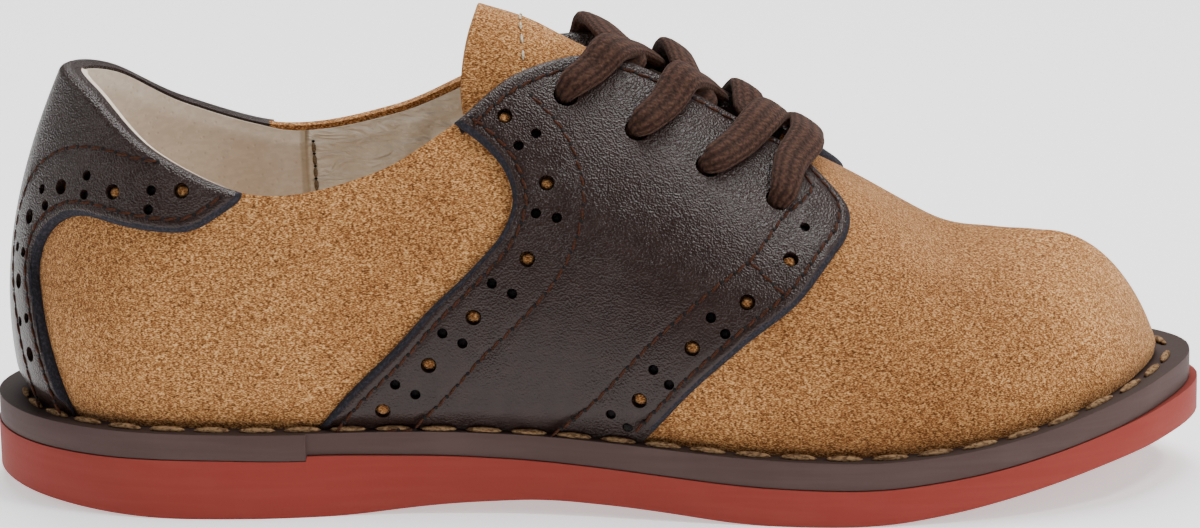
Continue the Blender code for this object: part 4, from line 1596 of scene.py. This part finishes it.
@dataclass
class Tongue:
    """The suede tongue, sunk under the facings where the lace runs below them."""

    last: Last
    rack: Rack
    thick: float = 2.0
    sink: float = 1.5
    edge_round: float = 0.35
    steps: tuple[int, int] = (90, 60)
    row_half: float = 0.93  # how far across the row of stitches goes
    row_count: int = 14
    row_share: float = 0.842  # where it crosses the middle
    row_bow: float = 0.058
    stitch_half: Size = (0.85, 0.22, 0.18)
    stitch_rise: float = 0.12
    # crown x and z, edge x, y and z, lean of the edge in degrees and fullness
    sections: tuple[tuple[float, ...], ...] = (
        (39.4, 37.4, 44.6, 9.6, 33.8, 30, 0.28),
        (32.9, 41.4, 38.2, 10.4, 37.0, 32, 0.26),
        (25.2, 45.6, 31.6, 11.8, 39.0, 36, 0.22),
        (16.4, 51.6, 22.9, 12.2, 43.1, 42, 0.20),
        (6.8, 58.0, 13.0, 12.2, 48.0, 46, 0.20),
        (-2.0, 62.4, 3.9, 12.2, 51.0, 49, 0.21),
        (-8.4, 65.8, -3.4, 12.0, 53.0, 56, 0.25),
        (-15.6, 68.2, -17.2, 11.4, 53.8, 66, 0.36),
    )

    def point(self, share: Array, across: Array) -> Array:
        """Points of the outer face: share from root to free end, across from -1 to 1 over the foot."""
        rows = smooth_path(self.sections, share)
        side = np.where(across < 0, -1.0, 1.0)
        crown = np.column_stack([rows[:, 0], 0 * side, rows[:, 1]])
        edge = np.column_stack([rows[:, 2], side * rows[:, 3], rows[:, 4]])
        reach = np.linalg.norm(edge - crown, axis=1)[:, None]
        lean = np.radians(rows[:, 5])
        outward = np.column_stack([0 * side, side, 0 * side])
        falling = np.column_stack([np.full(len(side), 0.3), side * np.cos(lean), -np.sin(lean)])
        first = crown + rows[:, 6:7] * reach * outward
        final = edge - 0.33 * reach * falling
        t = np.abs(across)[:, None]
        s = 1.0 - t
        found = crown * s**3 + first * 3 * s * s * t + final * 3 * s * t * t + edge * t**3
        held = (1 - ease(0.62, 0.80, share)) * ease(0.30, 0.65, np.abs(across))
        found[:, 2] -= self.sink * held
        return found

    def build(self) -> None:
        """The tongue and the stitches across its free end."""
        bm, a, b = grid_of(*self.steps)
        share, across = 1 - a, 2 * b - 1
        face = self.point(share, across)
        ahead, behind = np.minimum(share + 0.01, 1.0), np.maximum(share - 0.01, 0.0)
        right, left = np.minimum(across + 0.02, 1.0), np.maximum(across - 0.02, -1.0)
        along = self.point(ahead, across) - self.point(behind, across)
        over = self.point(share, right) - self.point(share, left)
        up = unit(np.cross(over, along))
        rim, _ = slab_of(bm, face, face - self.thick * up)
        bmesh.ops.bevel(
            bm, geom=rim, offset=self.edge_round, segments=2, profile=0.5, affect="EDGES", material=-1,
            clamp_overlap=True,
        )
        piece = new_piece("tongue_suede", bm, [self.rack.suede])
        crisp(piece, 50.0)
        hand_over(piece, "tan_suede", "tongue")
        self.sew()

    def sew(self) -> None:
        """A pale row of stitches across the free end."""
        across = np.linspace(-self.row_half, self.row_half, self.row_count)
        share = self.row_share + self.row_bow * across**2
        points = self.point(share, across)
        runs = unit(np.gradient(points, axis=0))
        ahead = self.point(share + 0.01, across) - self.point(share - 0.01, across)
        ups = unit(np.cross(runs, ahead))
        bm = bmesh.new()
        beads(bm, points + self.stitch_rise * ups, runs, ups, self.stitch_half, 0)
        piece = new_piece("tongue_stitches", bm, [self.rack.pale_thread])
        hand_over(piece, "tan_suede")


@dataclass
class Lace:
    """One flat lace: a bar at the toe end, then crossings that go down into each eyelet."""

    last: Last
    rack: Rack
    inner: Saddle
    outer: Saddle
    width: float = 4.9
    thick: float = 2.0
    far_lift: float = 0.3  # the outer strands stand a little higher
    flat: float = 0.9  # where it is pressed under a facing
    # where the inner and the outer strands cross the facing's edge, and their height between the facings
    edge_u: tuple[tuple[float, ...], ...] = ((0.578, 0.635, 0.697), (0.561, 0.626, 0.686))
    over: tuple[tuple[float, ...], ...] = ((-0.7, -0.7, 0.8), (-0.1, -0.8, -1.0))
    lead: tuple[float, ...] = (0.034, 0.030, 0.012)  # how far ahead each strand comes up
    bar_u: float = 0.7295
    sides: int = 16
    square: float = 0.8  # below 1 the section is squarer than an ellipse
    spacing: float = 0.45
    girth: float = 2.6  # round the section, in means of width and thickness

    def face_lift(self) -> float:
        """Height of the lace's middle over the suede where it lies on a facing."""
        return self.last.overlay_face + 0.05 + self.thick / 2

    def spot(self, side: Side, u: float, t: float, lift: float) -> tuple[Array, Array]:
        """A point over the skin and the way out there."""
        sign = np.array([float(side.value)])
        where = (sign, np.array([u]), np.array([t]))
        return self.last.skin(*where, np.array([lift]))[0], self.last.normal(*where)[0]

    def middle(self, u: float, lift: float, shift: float) -> tuple[Array, Array]:
        """A point between the facings, shifted across by shift."""
        one, way_one = self.spot(Side.INNER, u, 1.0, self.face_lift())
        two, way_two = self.spot(Side.OUTER, u, 1.0, self.face_lift())
        up = (way_one + way_two) / np.linalg.norm(way_one + way_two)
        point = (one + two) / 2 + lift * up
        point[1] += shift
        return point, up

    def strand(self, side: Side, i: int, places: dict[Side, Array]) -> list[LaceRow]:
        """The way from under the other facing, over this one and down into its eyelet.

        Args:
            side: where the strand ends.
            i: the eyelet it ends in, from the top.
            places: the eyelets of both sides.

        Returns:
            Rows of point, way up, width and thickness.
        """
        other = Side(-side.value)
        u, t = places[side][i]
        from_u, from_t = places[other][i + 1]
        far = side is Side.OUTER
        edge, over, lead = self.edge_u[far][i], self.over[far][i], self.lead[i]
        below = -self.last.wall - self.flat / 2 - 0.1
        lift = self.face_lift() + (self.far_lift if side is Side.OUTER else 0.0)
        w, h = self.width, self.thick
        return [
            (*self.spot(other, from_u - 0.006, from_t + 0.05, below), w * 0.8, self.flat),
            (*self.spot(other, from_u * 0.5 + edge * 0.5, 0.93, below), w, self.flat),
            (*self.middle(edge + lead, over - 1.0, other.value * 3.6), w, h * 0.8),
            (*self.middle(edge + lead * 0.5, over, 0.0), w * 1.1, h),
            (*self.spot(side, edge, 1.0, lift), w * 1.12, h),
            (*self.spot(side, u * 0.47 + edge * 0.53, t * 0.56 + 0.44, lift), w * 1.02, h),
            (*self.spot(side, u + 0.006, t + 0.018, lift - 0.1), w * 0.88, h * 1.05),
            (*self.spot(side, u, t + 0.008, self.last.overlay_face - 0.5), w * 0.60, h * 1.1),
            (*self.spot(side, u, t + 0.008, -0.8), w * 0.56, h),
        ]

    def bar(self, places: dict[Side, Array]) -> list[LaceRow]:
        """The bar, from the inner toe-end eyelet over the throat to the outer one."""
        halves = {}
        for side in Side:
            u, t = places[side][3]
            lift = self.face_lift()
            w, h = self.width, self.thick
            halves[side] = [
                (*self.spot(side, u, t, -0.6), w * 0.60, h),
                (*self.spot(side, u, t - 0.002, self.last.overlay_face - 0.6), w * 0.64, h * 1.05),
                (*self.spot(side, u + 0.005, t + 0.022, lift - 0.15), w * 0.82, h),
                (*self.spot(side, u * 0.55 + self.bar_u * 0.45, t * 0.5 + 0.5, lift), w, h),
                (*self.spot(side, self.bar_u, 1.0, lift + 0.2), w * 1.15, h),
            ]
        top = (*self.middle(self.bar_u, 0.5, 0.0), self.width * 1.15, self.thick)
        return halves[Side.INNER] + [top] + halves[Side.OUTER][::-1]

    def route(self) -> list[LaceRow]:
        """The whole lace, from its hidden end at one top eyelet to the other."""
        places = {Side.INNER: self.inner.eyelet_places(), Side.OUTER: self.outer.eyelet_places()}
        rows = self.bar(places)
        for first in (Side.OUTER, Side.INNER):
            side = Side(-first.value)
            way = []
            for i in (2, 1, 0):
                way += self.strand(side, i, places)
                side = Side(-side.value)
            rows = rows + way if first is Side.OUTER else way[::-1] + rows
        return rows

    def build(self) -> None:
        """Sweeps the lace's section along its route."""
        rows = np.array([np.concatenate([p, n, [w, h]]) for p, n, w, h in self.route()])
        runs = np.linalg.norm(np.diff(rows[:, :3], axis=0), axis=1)
        knots = np.concatenate([[0.0], np.cumsum(runs)])
        count = int(knots[-1] / self.spacing)
        at = np.linspace(0.0, knots[-1], count)
        found = hermite(knots, rows, slopes_of(knots, rows), at)
        path = found[:, :3]
        ahead = unit(np.gradient(path, axis=0))
        ups = found[:, 3:6]
        broad = unit(np.cross(ahead, ups))
        ups = unit(np.cross(broad, ahead))
        bm = bmesh.new()
        weave = bm.loops.layers.uv.new("weave")
        angles = np.arange(self.sides) / self.sides * math.tau
        round_x, round_y = (np.sign(w) * np.abs(w) ** self.square for w in (np.cos(angles), np.sin(angles)))
        rings = []
        for i in range(count):
            w, h = found[i, 6] / 2, found[i, 7] / 2
            ring = bmesh.ops.create_circle(bm, segments=self.sides, radius=1.0)["verts"]
            put(ring, path[i] + np.outer(round_x * w, broad[i]) + np.outer(round_y * h, ups[i]))
            rings.append(ring)
        for one, two in zip(rings, rings[1:]):
            for k in range(self.sides):
                n = (k + 1) % self.sides
                bm.faces.new((one[k], one[n], two[n], two[k]))
        index = {v: (i, k) for i, ring in enumerate(rings) for k, v in enumerate(ring)}
        girth = self.girth * (self.width + self.thick) / 2
        for f in bm.faces:
            ks = [index[loop.vert][1] for loop in f.loops]
            wraps = max(ks) - min(ks) > 1
            for loop in f.loops:
                i, k = index[loop.vert]
                around = (k + self.sides if wraps and k == 0 else k) / self.sides
                loop[weave].uv = (at[i], around * girth)
        for ring in (rings[0][::-1], rings[-1]):
            bm.faces.new(ring)
        bmesh.ops.recalc_face_normals(bm, faces=bm.faces[:])
        piece = new_piece("lace", bm, [self.rack.lace])
        hand_over(piece, "brown_cotton", "lace_bar", "lace_cross_1", "lace_cross_2", "lace_cross_3")
        log.info("lace: %.0f mm long", knots[-1])


@dataclass
class Studio:
    """Pale floor, soft light, and the camera at the photograph's angle."""

    distance: float = 600.0
    azimuth: float = 2.0
    elevation: float = 14.0
    roll: float = -1.1
    target: tuple[float, float, float] = (1.1, 0.0, 29.7)
    lens: float = 124.63
    floor: float = 4.0
    glow: float = 0.72
    surround: float = 0.17
    lit_spot: Size = (0.0, 0.0, 0.03)
    # name, place and size in metres, and power in watts
    lamps: tuple[tuple[str, Size, float, float], ...] = (
        ("overhead", (0.15, 0.24, 0.92), 0.60, 10.0),
        ("spark", (0.50, -0.22, 0.80), 0.14, 3.4),
        ("toe_side", (0.90, -0.45, 0.50), 0.6, 5.0),
        ("heel_side", (-0.90, -0.05, 0.60), 0.4, 2.6),
        ("behind", (-0.2, 0.7, 0.8), 0.5, 4.5),
    )

    def build_floor(self) -> None:
        """A wide pale floor."""
        bm = bmesh.new()
        bmesh.ops.create_grid(bm, x_segments=8, y_segments=8, size=self.floor / MM)
        piece = new_piece("floor", bm, [Plain("pale_floor", (0.93, 0.93, 0.93), self.glow).build()])

    def light(self, name: str, place: Size, size: float, power: float) -> None:
        """A square white light that faces the shoe."""
        lamp = bpy.data.lights.new(name, "AREA")
        lamp.size = size
        lamp.energy = power
        made = bpy.data.objects.new(name, lamp)
        made.location = place
        made.rotation_euler = (Vector(self.lit_spot) - Vector(place)).to_track_quat("-Z", "Y").to_euler()
        bpy.context.scene.collection.objects.link(made)

    def build_light(self) -> None:
        """Dim white surroundings and the lamps."""
        world = bpy.data.worlds.new("studio")
        world.use_nodes = True
        world.node_tree.nodes["Background"].inputs["Color"].default_value = (1.0, 1.0, 1.0, 1.0)
        world.node_tree.nodes["Background"].inputs["Strength"].default_value = self.surround
        bpy.context.scene.world = world
        for lamp in self.lamps:
            self.light(*lamp)

    def build_camera(self) -> None:
        """The camera, rolled a little as in the photograph."""
        a, e, roll = (math.radians(d) for d in (self.azimuth, self.elevation, self.roll))
        back = Vector((math.sin(a) * math.cos(e), -math.cos(a) * math.cos(e), math.sin(e)))
        right = Vector((math.cos(a), math.sin(a), 0.0))
        up = back.cross(right)
        turned = right * math.cos(roll) + up * math.sin(roll)
        upright = up * math.cos(roll) - right * math.sin(roll)
        lens = bpy.data.cameras.new("camera")
        lens.lens = self.lens
        lens.sensor_width = 36.0
        lens.clip_start = 0.01
        lens.clip_end = 50.0
        made = bpy.data.objects.new("camera", lens)
        turn = Matrix((turned, upright, back)).transposed().to_4x4()
        made.matrix_world = Matrix.Translation((Vector(self.target) + back * self.distance) * MM) @ turn
        bpy.context.scene.collection.objects.link(made)
        bpy.context.scene.camera = made

    def build(self) -> None:
        """Everything round the shoe."""
        self.build_floor()
        self.build_light()
        self.build_camera()


def main() -> None:
    """Builds the studio and the shoe."""
    logging.basicConfig(level=logging.INFO, format="%(name)s %(message)s")
    last = Last()
    rack = Rack()
    Studio().build()
    Sole(last, rack).build()
    inner = Saddle(last, rack, side=Side.INNER)
    outer = Saddle(last, rack, side=Side.OUTER)
    eyelets = inner.holes[-4:] + outer.holes[-4:]
    Upper(last, rack).build(eyelets)
    inner.build()
    outer.build()
    Counter(last, rack).build()
    Tongue(last, rack).build()
    Lace(last, rack, inner, outer).build()


if __name__ == "__main__":
    main()
